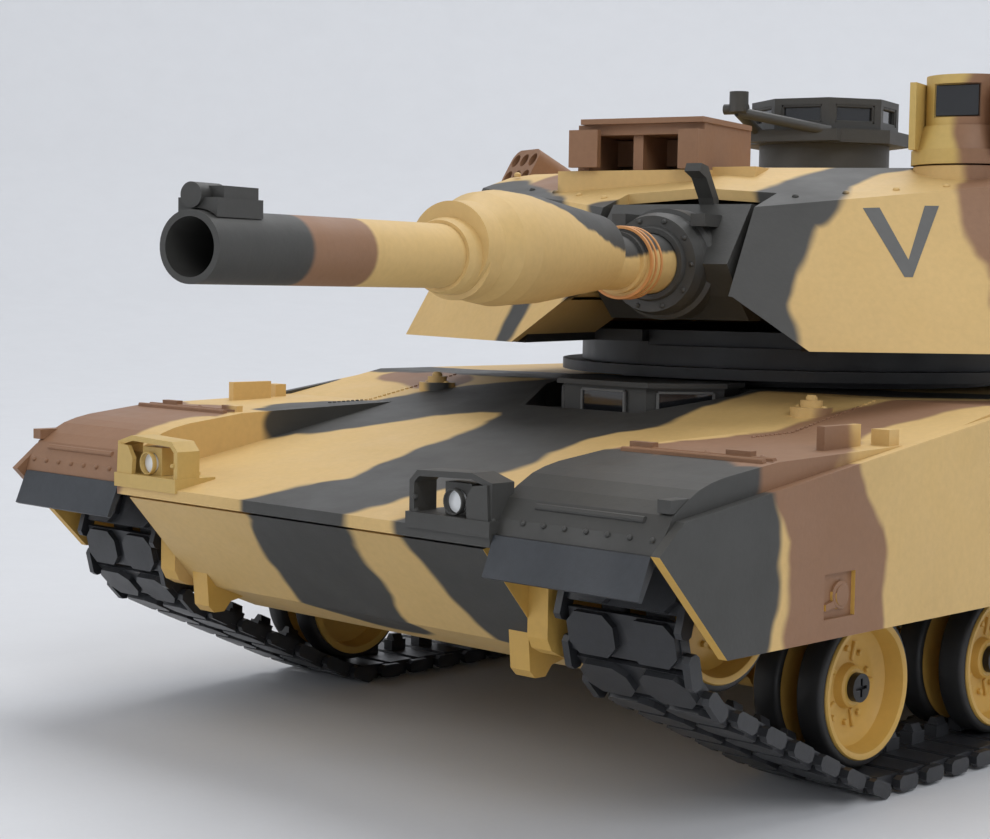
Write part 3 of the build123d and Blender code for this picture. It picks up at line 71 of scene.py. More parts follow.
# ---- node helpers ----
class Tree:
    """A material's node tree, with short calls for the nodes that the finishes share."""

    def __init__(self, name):
        self.mat = bpy.data.materials.new(name)
        self.mat.use_nodes = True
        self.nodes = self.mat.node_tree.nodes
        self.links = self.mat.node_tree.links
        self.bsdf = self.nodes["Principled BSDF"]

    def put(self, socket, value):
        if isinstance(value, bpy.types.NodeSocket):
            self.links.new(value, socket)
        elif value is not None:
            socket.default_value = value

    def math(self, op, a, b=None, c=None, clamp=False):
        node = self.nodes.new("ShaderNodeMath")
        node.operation = op
        node.use_clamp = clamp
        for socket, value in zip(node.inputs, (a, b, c)):
            self.put(socket, value)
        return node.outputs[0]

    def vector(self, op, a, b=None, scale=None):
        node = self.nodes.new("ShaderNodeVectorMath")
        node.operation = op
        self.put(node.inputs[0], a)
        self.put(node.inputs[1], b)
        if scale is not None:
            self.put(node.inputs["Scale"], scale)
        return node.outputs["Value" if op in ("DOT_PRODUCT", "DISTANCE", "LENGTH") else "Vector"]

    def place(self, matrix):
        """The surface point, in millimetres, in a frame given as a matrix to the row's frame."""
        coords = self.nodes.new("ShaderNodeTexCoord")
        mapping = self.nodes.new("ShaderNodeMapping")
        mapping.vector_type = "TEXTURE"
        loc, rot, scale = matrix.decompose()
        mapping.inputs["Location"].default_value = loc
        mapping.inputs["Rotation"].default_value = rot.to_euler()
        mapping.inputs["Scale"].default_value = scale
        self.links.new(coords.outputs["Object"], mapping.inputs["Vector"])
        return mapping.outputs["Vector"]

    def noise(self, point, scale, detail=3.0, rough=0.5, colour=False):
        node = self.nodes.new("ShaderNodeTexNoise")
        self.put(node.inputs["Vector"], point)
        node.inputs["Scale"].default_value = scale
        node.inputs["Detail"].default_value = detail
        node.inputs["Roughness"].default_value = rough
        return node.outputs["Color" if colour else "Fac"]

    def ramp(self, value, low, high, out_low=0.0, out_high=1.0, smooth=False):
        node = self.nodes.new("ShaderNodeMapRange")
        node.interpolation_type = "SMOOTHSTEP" if smooth else "LINEAR"
        for socket, number in zip(node.inputs, (value, low, high, out_low, out_high)):
            self.put(socket, number)
        return node.outputs[0]

    def mix(self, factor, a, b):
        node = self.nodes.new("ShaderNodeMix")
        node.data_type = "RGBA"
        self.put(node.inputs[0], factor)
        for socket, value in ((node.inputs[6], a), (node.inputs[7], b)):
            self.put(socket, (*value, 1.0) if isinstance(value, tuple) else value)
        return node.outputs[2]

    def band(self, point, stops):
        """Distance, in millimetres, outside a chain of round-ended strokes (x, y, z, radius)."""
        nearest = None
        for (ax, ay, az, ra), (bx, by, bz, rb) in zip(stops, stops[1:]):
            along = Vector((bx - ax, by - ay, bz - az))
            offset = self.vector("SUBTRACT", point, (ax, ay, az))
            share = self.vector("DOT_PRODUCT", offset, along / along.length_squared)
            share = self.math("ADD", share, 0.0, clamp=True)
            on_line = self.vector("SCALE", tuple(along), scale=share)
            reach = self.vector("DISTANCE", offset, on_line)
            edge = self.math("MULTIPLY_ADD", share, ra - rb, -ra)
            reach = self.math("ADD", reach, edge)
            nearest = reach if nearest is None else self.math("MINIMUM", nearest, reach)
        return nearest

    def bands(self, point, chains):
        nearest = None
        for stops in chains:
            reach = self.band(point, stops)
            nearest = reach if nearest is None else self.math("MINIMUM", nearest, reach)
        return nearest

    def inside(self, reach, soft):
        """1 inside, 0 outside, over a soft edge."""
        return self.ramp(reach, -soft, soft, 1.0, 0.0, smooth=True)

    def finish(self, colour, rough, grain=0.05, scale=1600.0, tone=0.06, sheen=0.0, coat=0.0):
        """Colour with slight mottling, uneven gloss and a fine surface grain."""
        coords = self.nodes.new("ShaderNodeTexCoord").outputs["Object"]
        cloudy = self.ramp(self.noise(coords, 38.0, 5.0), 0.3, 0.7, 1.0 - tone, 1.0 + tone)
        speck = self.ramp(self.noise(coords, 900.0, 2.0), 0.3, 0.7, 1.0 - tone * 0.6, 1.0 + tone * 0.6)
        gain = self.math("MULTIPLY", cloudy, speck)
        base = colour
        if isinstance(colour, tuple):
            base = self.mix(0.0, colour, colour)
        shaded = self.vector("SCALE", base, scale=gain)
        self.put(self.bsdf.inputs["Base Color"], shaded)
        gloss = self.ramp(self.noise(coords, 120.0, 4.0), 0.3, 0.7, rough - 0.06, rough + 0.07)
        self.put(self.bsdf.inputs["Roughness"], gloss)
        bump = self.nodes.new("ShaderNodeBump")
        bump.inputs["Strength"].default_value = grain
        bump.inputs["Distance"].default_value = 0.0002
        self.put(bump.inputs["Height"], self.noise(coords, scale, 3.0, 0.6))
        self.links.new(bump.outputs["Normal"], self.bsdf.inputs["Normal"])
        self.bsdf.inputs["Coat Weight"].default_value = coat
        self.bsdf.inputs["Sheen Weight"].default_value = sheen
        return self.mat


def camouflage(name, matrix, brown, grey, sand_over=(), base=SAND, soft=0.9, rough=0.55, extra=None):
    """The sprayed pattern, with any painted shade given among its strokes: sand, then brown, then grey, then sand
    patches over them.
    """
    tree = Tree(name)
    point = tree.place(matrix)
    waver = tree.vector("SUBTRACT", tree.noise(point, 0.07, 2.0, colour=True), (0.5, 0.5, 0.5))
    point = tree.vector("ADD", point, tree.vector("SCALE", waver, scale=7.0))
    colour = tree.mix(0.0, base, base)
    for chains, paint in ((brown, BROWN), (grey, GREY), (sand_over, base)):
        if chains:
            colour = tree.mix(tree.inside(tree.bands(point, chains), soft), colour, paint)
    if extra:
        colour = extra(tree, colour)
    return tree.finish(colour, rough, grain=0.12, scale=1300.0, tone=0.05)


def plain(name, colour, rough, metal=0.0, **look):
    """A single colour with the shared mottling, gloss and grain."""
    tree = Tree(name)
    tree.bsdf.inputs["Metallic"].default_value = metal
    return tree.finish(colour, rough, **look)


# ---- the pattern on the hull, with the turret's shadow painted on the deck, in the hull's millimetres ----
HULL_GREY = [
    [(3, -137, 42.5, 12.6), (6, -124, 45, 10.6), (8, -113, 47, 12.6), (6, -100, 49, 13.4), (6, -88, 51, 13.4),
     (6, -72, 54, 19), (0, -54, 58, 25)],
    [(-46, -101, 51, 5.5), (-44, -90, 52, 12.5), (-34, -73, 54.5, 12.8), (-24, -65, 55.5, 13.5), (-8, -58, 56, 17)],
    [(1.6, -139, 41, 13), (1.3, -135, 36.4, 12.2), (-0.2, -131.6, 32.2, 14), (-0.7, -127.6, 27.7, 13),
     (1, -123, 22.9, 11)],
    [(38, -139, 40.5, 13), (38.5, -134.8, 35.7, 13), (41, -131, 32, 13), (46, -128, 29, 12.5), (54, -124, 24, 12)],
    [(48, -140, 44, 14), (48, -121, 52, 9.2)],
    [(62, -140, 44, 14), (62, -121.5, 52, 10)],
    [(74, -140, 44, 14), (74, -125, 52, 9)],
    # painted shadow: a grey stroke across the deck under the front of the turret, where the turret's shadow falls
    [(-74, -44, 58.6, 8), (-40, -40, 58.6, 10), (0, -38, 58.6, 12), (44, -34, 58.6, 9), (70, -16, 58.6, 7)],
    [(-70, 66, 58.6, 12), (-40, 82, 58.6, 8), (0, 72, 58.6, 9), (40, 92, 58.6, 12), (76, 84, 58.6, 9)],
    [(-50, 176, 58.6, 12), (-10, 188, 55, 10), (30, 176, 58.6, 8), (60, 190, 52, 13)],
]
HULL_BROWN = [
    [(-60, -140, 45, 17), (-62, -121, 51, 17)],
    [(-75, -138, 45, 12), (-76, -112, 51, 10)],
    [(62, -108, 53.5, 17), (61, -97, 54.5, 14), (56, -80, 56, 9), (56, -65, 57.5, 8), (62, -50, 58.6, 7),
     (72, -38, 58.6, 6)],
    # painted shade: a brown stroke on the right of the deck, beside the turret's painted shadow
    [(-60, -52, 58, 8), (-48, -58, 57, 7)],
    [(-76, 20, 58.6, 10), (-56, 34, 58.6, 9), (-44, 52, 58.6, 6)],
    [(74, 34, 58.6, 12), (56, 50, 58.6, 9)],
    [(-74, 128, 58.6, 15), (-30, 120, 58.6, 9), (10, 134, 58.6, 12), (46, 132, 58.6, 8), (74, 146, 58.6, 13)],
]
HULL_SAND = [
    [(-45.5, -129, 49, 4.4), (-45.5, -121, 50.5, 4.6)],
    [(48.4, -128, 36, 5.2), (48.4, -118, 28, 5.2), (48.4, -104, 26, 5.2)],
    [(47, -126, 22, 4), (38, -122, 19, 4.4)],
]
LEFT_GREY = [
    [(76, -141, 38, 28), (76, -150, 20, 26)],
    [(76, -18, 62, 9), (76, -10, 42, 12), (76, -2, 22, 9)],
    [(76, 72, 62, 11), (76, 84, 44, 9), (76, 78, 22, 8)],
    [(76, 176, 60, 15), (76, 190, 40, 12)],
]
LEFT_BROWN = [
    [(76, -107, 57, 12.4), (76, -101, 46, 10), (76, -99, 37, 12), (76, -99, 20, 12)],
    [(76, 36, 64, 12), (76, 26, 42, 8), (76, 36, 20, 13)],
    [(76, 124, 64, 15), (76, 134, 46, 13)],
]
RIGHT_GREY = [
    [(-76, -74, 62, 10), (-76, -66, 44, 11), (-76, -58, 20, 8)],
    [(-76, 58, 62, 13), (-76, 66, 42, 11), (-76, 62, 22, 8)],
    [(-76, 168, 62, 13), (-76, 180, 40, 13)],
]
RIGHT_BROWN = [
    [(-76, -140, 44, 24), (-76, -122, 54, 14)],
    [(-76, -8, 64, 11), (-76, 2, 42, 10), (-76, -6, 20, 13)],
    [(-76, 112, 64, 14), (-76, 118, 44, 11)],
]
TURRET_GREY = [
    [(17, -66, 95, 10.4), (15.6, -74, 83, 10.6), (16.4, -79, 76, 10.2), (18.4, -84, 67, 10.6)],
    [(19, -60, 93, 8), (19, -48, 96.5, 6.4), (23, -35, 99, 6.0), (30, -20, 99.5, 9)],
    [(-30, -73, 68, 3.0), (-27, -64, 88, 3.6), (-36, -56, 96, 7), (-52, -38, 97, 6)],
    [(-13, -84, 67, 5.5), (-12, -76, 84, 5), (-14, -66, 95, 6)],
    [(66, 2, 70, 8), (68, 8, 86, 10), (58, 16, 99, 9), (30, 34, 99.5, 7), (4, 44, 99.5, 8)],
    [(-68, 24, 72, 10), (-66, 16, 88, 8), (-52, 8, 98, 9), (-34, 4, 99.5, 9)],
    [(60, 96, 76, 12), (54, 90, 98, 10), (26, 96, 99.5, 7), (6, 112, 86, 10)],
    [(-20, 70, 99.5, 9), (-46, 78, 98, 8), (-66, 92, 84, 11)],
]
TURRET_BROWN = [
    [(56, -40, 97, 14.5), (60, -43, 88, 15.5), (63, -45, 82, 14.5), (67, -47, 72, 15.5)],
    [(-34, -36, 97, 11), (-14, -38, 98, 7), (-3, -40, 97, 5)],
    [(68, 52, 72, 12), (66, 60, 88, 9), (50, 64, 99, 10), (24, 66, 99.5, 8)],
    [(-64, -30, 78, 10), (-58, -22, 92, 8)],
    [(-66, 56, 72, 11), (-62, 50, 90, 9), (-40, 42, 99.5, 9), (-20, 40, 99.5, 6)],
    [(-30, 112, 82, 13), (-8, 104, 99, 8)],
]


def bare_edges(tree, colour, top=0.1):
    """The skirt's inner faces and lower edges, below a height in metres, stay in the moulding's colour."""
    normal = tree.nodes.new("ShaderNodeNewGeometry").outputs["Normal"]
    coords = tree.nodes.new("ShaderNodeTexCoord").outputs["Object"]
    outward = tree.math("ABSOLUTE", tree.vector("DOT_PRODUCT", normal, (1, 0, 0)))
    upward = tree.vector("DOT_PRODUCT", normal, (0, 0, 1))
    place = tree.vector("DOT_PRODUCT", coords, (1, 0, 0))
    facing = tree.vector("DOT_PRODUCT", normal, (1, 0, 0))
    inner = tree.math("LESS_THAN", tree.math("MULTIPLY", facing, place), -0.03)
    edge = tree.math("MULTIPLY", tree.math("LESS_THAN", outward, 0.5), tree.math("LESS_THAN", upward, 0.3))
    low = tree.math("LESS_THAN", tree.vector("DOT_PRODUCT", coords, (0, 0, 1)), top)
    bare = tree.math("MULTIPLY", tree.math("MAXIMUM", inner, edge), low)
    return tree.mix(bare, colour, SAND_YELLOW)


def bare_low_edges(tree, colour):
    """The same for the right skirt, whose front is sprayed further down."""
    return bare_edges(tree, colour, 0.037)


def bare_bracket(tree, colour):
    """The idler's bracket beside the lower hull is left in the moulding's own colour."""
    coords = tree.nodes.new("ShaderNodeTexCoord").outputs["Object"]
    side = tree.math("ABSOLUTE", tree.vector("DOT_PRODUCT", coords, (1, 0, 0)))
    return tree.mix(tree.math("GREATER_THAN", side, 0.0424), colour, SAND_YELLOW)


def gun_paint():
    """Grey muzzle, brown, then sand with a grey patch over the evacuator and the sleeve."""
    tree = Tree("gun_paint")
    point = tree.place(TURRET)
    waver = tree.vector("SUBTRACT", tree.noise(point, 0.22, 2.0, colour=True), (0.5, 0.5, 0.5))
    wavy = tree.vector("ADD", point, tree.vector("SCALE", waver, scale=2.4))
    along = tree.vector("DOT_PRODUCT", point, (0, 1, 0))
    patch = tree.band(wavy, [(1.5, -124, 90.4, 3.2), (3.5, -115, 89.2, 4.6), (4, -107, 87.6, 4.8), (4, -99, 86, 4.5),
                              (2.5, -88, 86, 3.6), (2, -74, 86, 4)])
    colour = tree.mix(tree.inside(patch, 0.4), SAND, GREY)
    colour = tree.mix(tree.ramp(along, -172.8, -171.6, 1.0, 0.0, smooth=True), colour, BROWN)
    colour = tree.mix(tree.ramp(along, -187.2, -185.8, 1.0, 0.0, smooth=True), colour, GREY)
    tree.finish(colour, 0.55, grain=0.12, scale=1300.0, tone=0.05)
    return tree.mat


def two_sided(name, left, right, rough=0.55):
    """One colour on the vehicle's left and another on its right."""
    tree = Tree(name)
    coords = tree.nodes.new("ShaderNodeTexCoord").outputs["Object"]
    side = tree.vector("DOT_PRODUCT", coords, (1, 0, 0))
    return tree.finish(tree.mix(tree.math("GREATER_THAN", side, 0.0), right, left), rough, grain=0.12, tone=0.05)


M = {
    # the hull's camouflage also carries the turret's shadow, painted on the deck
    "hull": camouflage("camo_hull_with_painted_shadow", HULL, HULL_BROWN, HULL_GREY, HULL_SAND),
    "lower": camouflage("camo_lower_hull", HULL, HULL_BROWN, HULL_GREY, HULL_SAND, extra=bare_bracket),
    "left": camouflage("camo_left_skirt", HULL, LEFT_BROWN, LEFT_GREY, extra=bare_edges),
    "right": camouflage("camo_right_skirt", HULL, RIGHT_BROWN, RIGHT_GREY, extra=bare_low_edges),
    "turret": camouflage("camo_turret", TURRET, TURRET_BROWN, TURRET_GREY),
    "gun": gun_paint(),
    "guards": two_sided("lamp_guards", GREY, (0.56, 0.38, 0.12)),
    "sight": plain("sight_brown", (0.27, 0.14, 0.072), 0.55, grain=0.12),
    "citv": camouflage("citv_paint", TURRET, [[(50, -34, 96, 10.5), (50, -32, 112, 9.5)]], [],
                       base=(0.60, 0.42, 0.13)),
    "grey": plain("spray_grey", GREY, 0.5, grain=0.12),
    "brown": plain("spray_brown", BROWN, 0.55, grain=0.12),
    "sand": plain("spray_sand", SAND, 0.55, grain=0.12),
    "yellow": plain("moulded_yellow", SAND_YELLOW, 0.42, grain=0.05, tone=0.04),
    "black": plain("moulded_black", BLACK, 0.42, grain=0.06, tone=0.1),
    "track": plain("track_black", (0.026, 0.027, 0.03), 0.40, grain=0.10, tone=0.14),
    "tyre": plain("tyre_black", (0.022, 0.022, 0.022), 0.5, grain=0.10, scale=2200.0),
    "flap": plain("flap_rubber", (0.030, 0.034, 0.040), 0.55, grain=0.15, scale=2600.0, tone=0.12),
    "steel": plain("plated_steel", (0.55, 0.55, 0.53), 0.3, metal=1.0, grain=0.08),
    "screw": plain("black_screw", (0.035, 0.035, 0.036), 0.32, metal=0.6, grain=0.06),
    "nylon": plain("gear_nylon", (0.80, 0.78, 0.72), 0.4, grain=0.05, sheen=0.1),
    "board": plain("circuit_board", (0.02, 0.16, 0.06), 0.35, grain=0.05),
    "cell": plain("cell_wrap", (0.03, 0.08, 0.30), 0.3, grain=0.05, coat=0.3),
    "lens": plain("lamp_white", (0.80, 0.82, 0.83), 0.12, grain=0.01, tone=0.02, coat=1.0),
    "glass": plain("vision_block", (0.012, 0.013, 0.015), 0.12, grain=0.01, coat=0.6),
    "mark": plain("mark_grey", (0.11, 0.11, 0.105), 0.55, grain=0.1),
    "bright": plain("frame_painted_highlight", (0.15, 0.15, 0.145), 0.45, grain=0.06),
    # painted highlight: a lighter grey for the light catching the edges of the periscope frames
    "band": plain("orange_band", (0.62, 0.28, 0.09), 0.5, grain=0.08),
}

FINISH = {
    "upper_hull": "hull", "lower_hull": "lower", "deck_fittings": "hull", "tow_hooks": "yellow", "driver_hatch": "grey",
    "driver_periscopes": "glass", "side_skirt_left": "left", "side_skirt_right": "right", "mud_flaps": "flap",
    "headlight_guards": "guards", "headlight_lamps": "guards", "headlight_lenses": "lens", "tail_lights": "grey",
    "screws": "screw", "battery_pack": "cell", "battery_door": "yellow", "circuit_board": "board",
    "gearbox_housings": "black", "drive_motors": "steel", "suspension_arms": "yellow", "track_left": "track",
    "track_right": "track", "traverse_motor": "steel", "power_switch": "black", "traverse_pinion": "nylon",
    "motor_pinion_left": "nylon", "motor_pinion_right": "nylon", "turret_shell": "turret", "turret_base": "black",
    "sight_housing": "sight", "sight_doors": "sight", "smoke_launchers": "sight", "bustle_rack": "turret",
    "roof_fittings": "grey", "elevation_unit": "black", "citv_head": "citv", "cupola": "grey",
    "commander_hatch": "grey", "loader_hatch": "turret", "gun_shield": "grey", "gun_barrel": "gun",
    "breech_unit": "black",
}


def paint(obj, key):
    obj.data.materials.clear()
    obj.data.materials.append(M[key])


for name, node in NODES.items():
    paint(node, FINISH.get(name, "yellow"))
    for face in node.data.polygons:
        face.use_smooth = True
    node.data.set_sharp_from_angle(angle=radians(28))


# ---- mesh helpers ----
def piece(name, bm, key, body, matrix=HULL, smooth=35.0):
    """A finished mesh, drawn in millimetres in a part's frame, that rides on a body."""
    mesh = bpy.data.meshes.new(name)
    bm.transform(matrix)
    bmesh.ops.recalc_face_normals(bm, faces=bm.faces)
    bm.to_mesh(mesh)
    bm.free()
    obj = bpy.data.objects.new(name, mesh)
    bpy.context.scene.collection.objects.link(obj)
    obj.data.materials.append(M[key])
    for face in mesh.polygons:
        face.use_smooth = True
    mesh.set_sharp_from_angle(angle=radians(smooth))
    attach(obj, body)
    return obj


def lathe(bm, profile, centre, axis, segments=48, closed=True):
    """A turned ring from points (distance along the axis, radius)."""
    axis = Vector(axis).normalized()
    side = axis.orthogonal().normalized()
    up = axis.cross(side)
    rings = []
    for a, r in profile:
        ring = [bm.verts.new(Vector(centre) + axis * a + (side * cos(t) + up * sin(t)) * r)
                for t in (2 * pi * i / segments for i in range(segments))]
        rings.append(ring)
    pairs = list(zip(rings, rings[1:] + rings[:1])) if closed else list(zip(rings, rings[1:]))
    for lower, upper in pairs:
        for i in range(segments):
            j = (i + 1) % segments
            bm.faces.new((lower[i], lower[j], upper[j], upper[i]))
    if not closed:
        bm.faces.new(rings[0][::-1])
        bm.faces.new(rings[-1])


def knob(bm, at, axis, radius, height, segments=16, sides=None):
    """A raised button head: rounded, or with flats where sides is given."""
    if sides:
        lathe(bm, [(-0.3, radius), (height * 0.8, radius), (height, radius * 0.8)], at, axis, sides, closed=False)
    else:
        lathe(bm, [(-0.3, radius), (height * 0.35, radius), (height * 0.8, radius * 0.72), (height, radius * 0.3)],
              at, axis, segments, closed=False)


def bar(bm, a, b, width, height, up=(0, 0, 1), chamfer=0.25):
    """A chamfered strip from a to b, standing height above its line."""
    a, b = Vector(a), Vector(b)
    along = (b - a).normalized()
    across = along.cross(Vector(up)).normalized()
    rise = across.cross(along).normalized()
    half = width / 2
    section = [(-half, -0.3), (-half, height - chamfer), (-half + chamfer, height), (half - chamfer, height),
               (half, height - chamfer), (half, -0.3)]
    ends = []
    for point, shift in ((a, chamfer), (b, -chamfer)):
        ends.append([bm.verts.new(point + across * u + rise * v + along * (shift if v > 0 else 0))
                     for u, v in section])
    first, last = ends
    for i in range(len(section)):
        j = (i + 1) % len(section)
        bm.faces.new((first[i], first[j], last[j], last[i]))
    bm.faces.new(first[::-1])
    bm.faces.new(last)


# ---- wheels ----
TRACK_X = 59.7
WHEEL_Y = [-75.5] + [-34.5 + 29.4 * i for i in range(6)]
WHEEL_Z = [14.65] + [13.9] * 5 + [14.65]
WHEEL_OUT, WHEEL_IN, GAP = TRACK_X + 7.0, TRACK_X - 7.0, 1.75


def wheel_meshes(side):
    """Hub and tyres of one double wheel with its axle on the x axis, as two meshes."""
    hub = bmesh.new()
    x = [
        (WHEEL_IN + 1.0, 1.75), (WHEEL_OUT - 2.6, 1.75), (WHEEL_OUT - 2.5, 2.9), (WHEEL_OUT - 2.8, 3.3),
        (WHEEL_OUT - 4.1, 3.7), (WHEEL_OUT - 4.3, 4.3), (WHEEL_OUT - 4.5, 7.4), (WHEEL_OUT - 4.1, 8.6),
        (WHEEL_OUT - 3.2, 9.5), (WHEEL_OUT - 0.9, 10.0), (WHEEL_OUT - 0.2, 10.2), (WHEEL_OUT, 10.6), (WHEEL_OUT, 11.1),
        (WHEEL_OUT - 0.3, 11.3), (TRACK_X + GAP, 11.3), (TRACK_X + GAP, 5.0), (TRACK_X - GAP, 5.0),
        (TRACK_X - GAP, 11.3), (WHEEL_IN, 11.3), (WHEEL_IN, 10.0), (WHEEL_IN + 3.6, 9.4), (WHEEL_IN + 3.6, 3.6),
        (WHEEL_IN + 1.0, 3.4),
    ]
    lathe(hub, x, (0, 0, 0), (1, 0, 0), 64)
    for i in range(10):
        t = 2 * pi * (i + 0.5) / 10
        knob(hub, (WHEEL_OUT - 4.5, 5.9 * cos(t), 5.9 * sin(t)), (1, 0, 0), 0.55, 0.7, sides=6)
    for i in range(5):
        t = 2 * pi * i / 5
        bar(hub, (WHEEL_OUT - 4.3, 3.9 * cos(t), 3.9 * sin(t)), (WHEEL_OUT - 4.3, 7.2 * cos(t), 7.2 * sin(t)), 0.8, 0.45,
            up=(1, 0, 0), chamfer=0.15)
    tyre = bmesh.new()
    for x0, x1 in ((TRACK_X + GAP, WHEEL_OUT - 0.5), (WHEEL_IN + 0.5, TRACK_X - GAP)):
        lathe(tyre, [(x0, 11.2), (x0, 11.9), (x0 + 0.3, 12.3), (x0 + 0.8, 12.5), (x1 - 0.8, 12.5), (x1 - 0.3, 12.3),
                     (x1, 11.9), (x1, 11.2)], (0, 0, 0), (1, 0, 0), 72)
    if side < 0:
        for bm in (hub, tyre):
            bm.transform(Matrix.Scale(-1, 4, (1, 0, 0)))
    return hub, tyre


places = [(f"road_wheel_{{}}_{i + 1}", y, z) for i, (y, z) in enumerate(zip(WHEEL_Y, WHEEL_Z))]
places.append(("idler_{}", -112.3, 31.6))
for side, word in ((1, "left"), (-1, "right")):
    for pattern, y, z in places:
        node = pattern.format(word)
        hub, tyre = wheel_meshes(side)
        spot = HULL @ Matrix.Translation((0, y, z))
        rim = piece(node + "_hub", hub, "yellow", node, spot, smooth=30)
        piece(node + "_tyres", tyre, "tyre", node, spot, smooth=40)
        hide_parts(node)

# ---- details on the hull ----
for side, word, key in ((1, "left", "grey"), (-1, "right", "brown")):
    bm = bmesh.new()
    for i in range(7):
        knob(bm, (side * (49.5 + 3.9 * i), -137.05, 43.9), (0, -0.94, 0.35), 0.42, 0.42, 12)
    bar(bm, (side * 50.5, -135.55, 46.25), (side * 70.5, -135.55, 46.25), 0.9, 0.45, up=(0, -0.84, 0.54), chamfer=0.2)
    piece(f"fender_rivets_{word}", bm, key, "hull")

    bm = bmesh.new()
    for y in (-110.9, -113.4):
        bar(bm, (side * 47.2, y, 52.95), (side * 73.4, y, 52.95), 0.9, 0.5, chamfer=0.18)
    for x in (50, 60, 70):
        knob(bm, (side * x, -109.4, 53.05), (0, 0, 1), 0.5, 0.5, 12)
    piece(f"fender_hinge_{word}", bm, "brown", "hull")

    bm = bmesh.new()
    start, end = Vector((side * 50.5, -86, 53.65)), Vector((side * 50.5, -75.4, 53.92))
    upper = Vector((side * 50.5, -51, 58.4))
    for a, b, count in ((start, end, 9), (end, upper, 20)):
        for i in range(count):
            p, q = a.lerp(b, (i + 0.15) / count), a.lerp(b, (i + 0.75) / count)
            bar(bm, p, q, 0.35, 0.22, chamfer=0.08)
    piece(f"weld_line_{word}", bm, "hull", "hull")

    bm = bmesh.new()
    centre = (side * 76.2, -97.6, 33.0)
    axis = (side, 0, 0)
    lathe(bm, [(-0.85, 2.1), (-0.3, 2.1), (-0.15, 1.95), (-0.15, 1.5), (-0.05, 1.35), (-0.05, 0.7), (-0.25, 0.6),
               (-0.25, 0.15), (-0.85, 0.15)], centre, axis, 40)
    piece(f"skirt_boss_{word}", bm, "left" if side > 0 else "right", "hull")

    bm = bmesh.new()
    for x, y, z in ((28.9, -139.0, 44.0), (44.4, -139.0, 44.0), (44.4, -133.0, 44.1), (33.0, -131.5, 44.1)):
        knob(bm, (side * x, y + 0.9, z - 0.15), (0, 0, 1), 0.55, 0.55, 12)
    for x, z in ((29.2, 46.0), (43.4, 46.4), (43.4, 44.8)):
        knob(bm, (side * x, -138.62, z), (0, -1, 0), 0.42, 0.4, 12)
    lathe(bm, [(0.0, 2.0), (0.55, 2.0), (0.7, 1.9), (0.7, 1.72), (0.0, 1.72)], (side * 36.8, -137.75, 45.9),
          (0, -1, 0), 32)
    piece(f"lamp_bolts_{word}", bm, "guards", "hull")

    bm = bmesh.new()
    for dx in (-2.6, 2.6):
        knob(bm, (side * (45 + dx), -62, 56.9), (0, -0.18, 0.98), 0.7, 0.8, 12)
    lathe(bm, [(0.0, 1.0), (1.6, 1.0), (2.0, 0.7), (2.0, 0.3), (0.0, 0.3)], (side * 45, -62, 57.4), (0, 0, 1), 20)
    piece(f"eye_bolts_{word}", bm, "sand", "hull")

PANES = [((0.0, -63.42), 0.0), ((-14.4, -57.5), radians(-50.1)), ((14.4, -57.5), radians(50.1))]
bm = bmesh.new()
for (x, y), turn in PANES:
    spin = Matrix.Translation((x, y, 55.95)) @ Matrix.Rotation(turn, 4, "Z")
    out = -0.06 if turn == 0.0 else -0.42
    corners = [spin @ Vector((u, out, v)) for u, v in ((-5.1, -2.1), (5.1, -2.1), (5.1, 2.1), (-5.1, 2.1))]
    face = spin.to_3x3() @ Vector((0, -1, 0))
    for a, b in zip(corners, corners[1:] + corners[:1]):
        bar(bm, a, b, 0.5, 0.25, up=face, chamfer=0.08)
# the frames take the lighter grey as a painted highlight on their edges
piece("periscope_frames", bm, "bright", "hull")

# ---- details on the turret ----
def roof_z(x, y):
    """Height of the sloping front roof plate."""
    return 91.6 + 0.27 * (y + 65.1) - 0.07 * (abs(x) - 15)


bm = bmesh.new()
for side in (-1, 1):
    for x, y in ((18.5, -58.6), (26, -53.8), (33.5, -49.0), (41, -44.2)):
        knob(bm, (side * x, y, roof_z(x, y)), (side * 0.07, -0.27, 1), 0.6, 0.5, 12)
    for y in (-30, -16, 8):
        knob(bm, (side * 52, y, 99.2), (0, 0, 1), 0.7, 0.6, 14)
piece("roof_bolts", bm, "turret", "turret", TURRET)

bm = bmesh.new()
outline = [(30.3, -57.2, 91.2), (32.7, -55.5, 91.3), (38.9, -58.0, 82.4), (39.3, -51.0, 91.8), (41.4, -49.6, 91.8),
           (40.1, -59.2, 79.4), (38.9, -60.0, 79.4)]
CHEEK_TURN, CHEEK_TILT = radians(32.6), radians(30.8)
cheek = Vector((sin(CHEEK_TURN) * cos(CHEEK_TILT), -cos(CHEEK_TURN) * cos(CHEEK_TILT), sin(CHEEK_TILT)))
origin = Vector((27.0, -76.3, 67.1))
flat = [Vector(q) - cheek * (Vector(q) - origin).dot(cheek) for q in outline]
lower = [bm.verts.new(q - cheek * 0.05) for q in flat]
upper = [bm.verts.new(q + cheek * 0.05) for q in flat]
bm.faces.new(lower[::-1])
bm.faces.new(upper)
for i in range(len(flat)):
    j = (i + 1) % len(flat)
    bm.faces.new((lower[i], lower[j], upper[j], upper[i]))
piece("cheek_chevron", bm, "mark", "turret", TURRET)

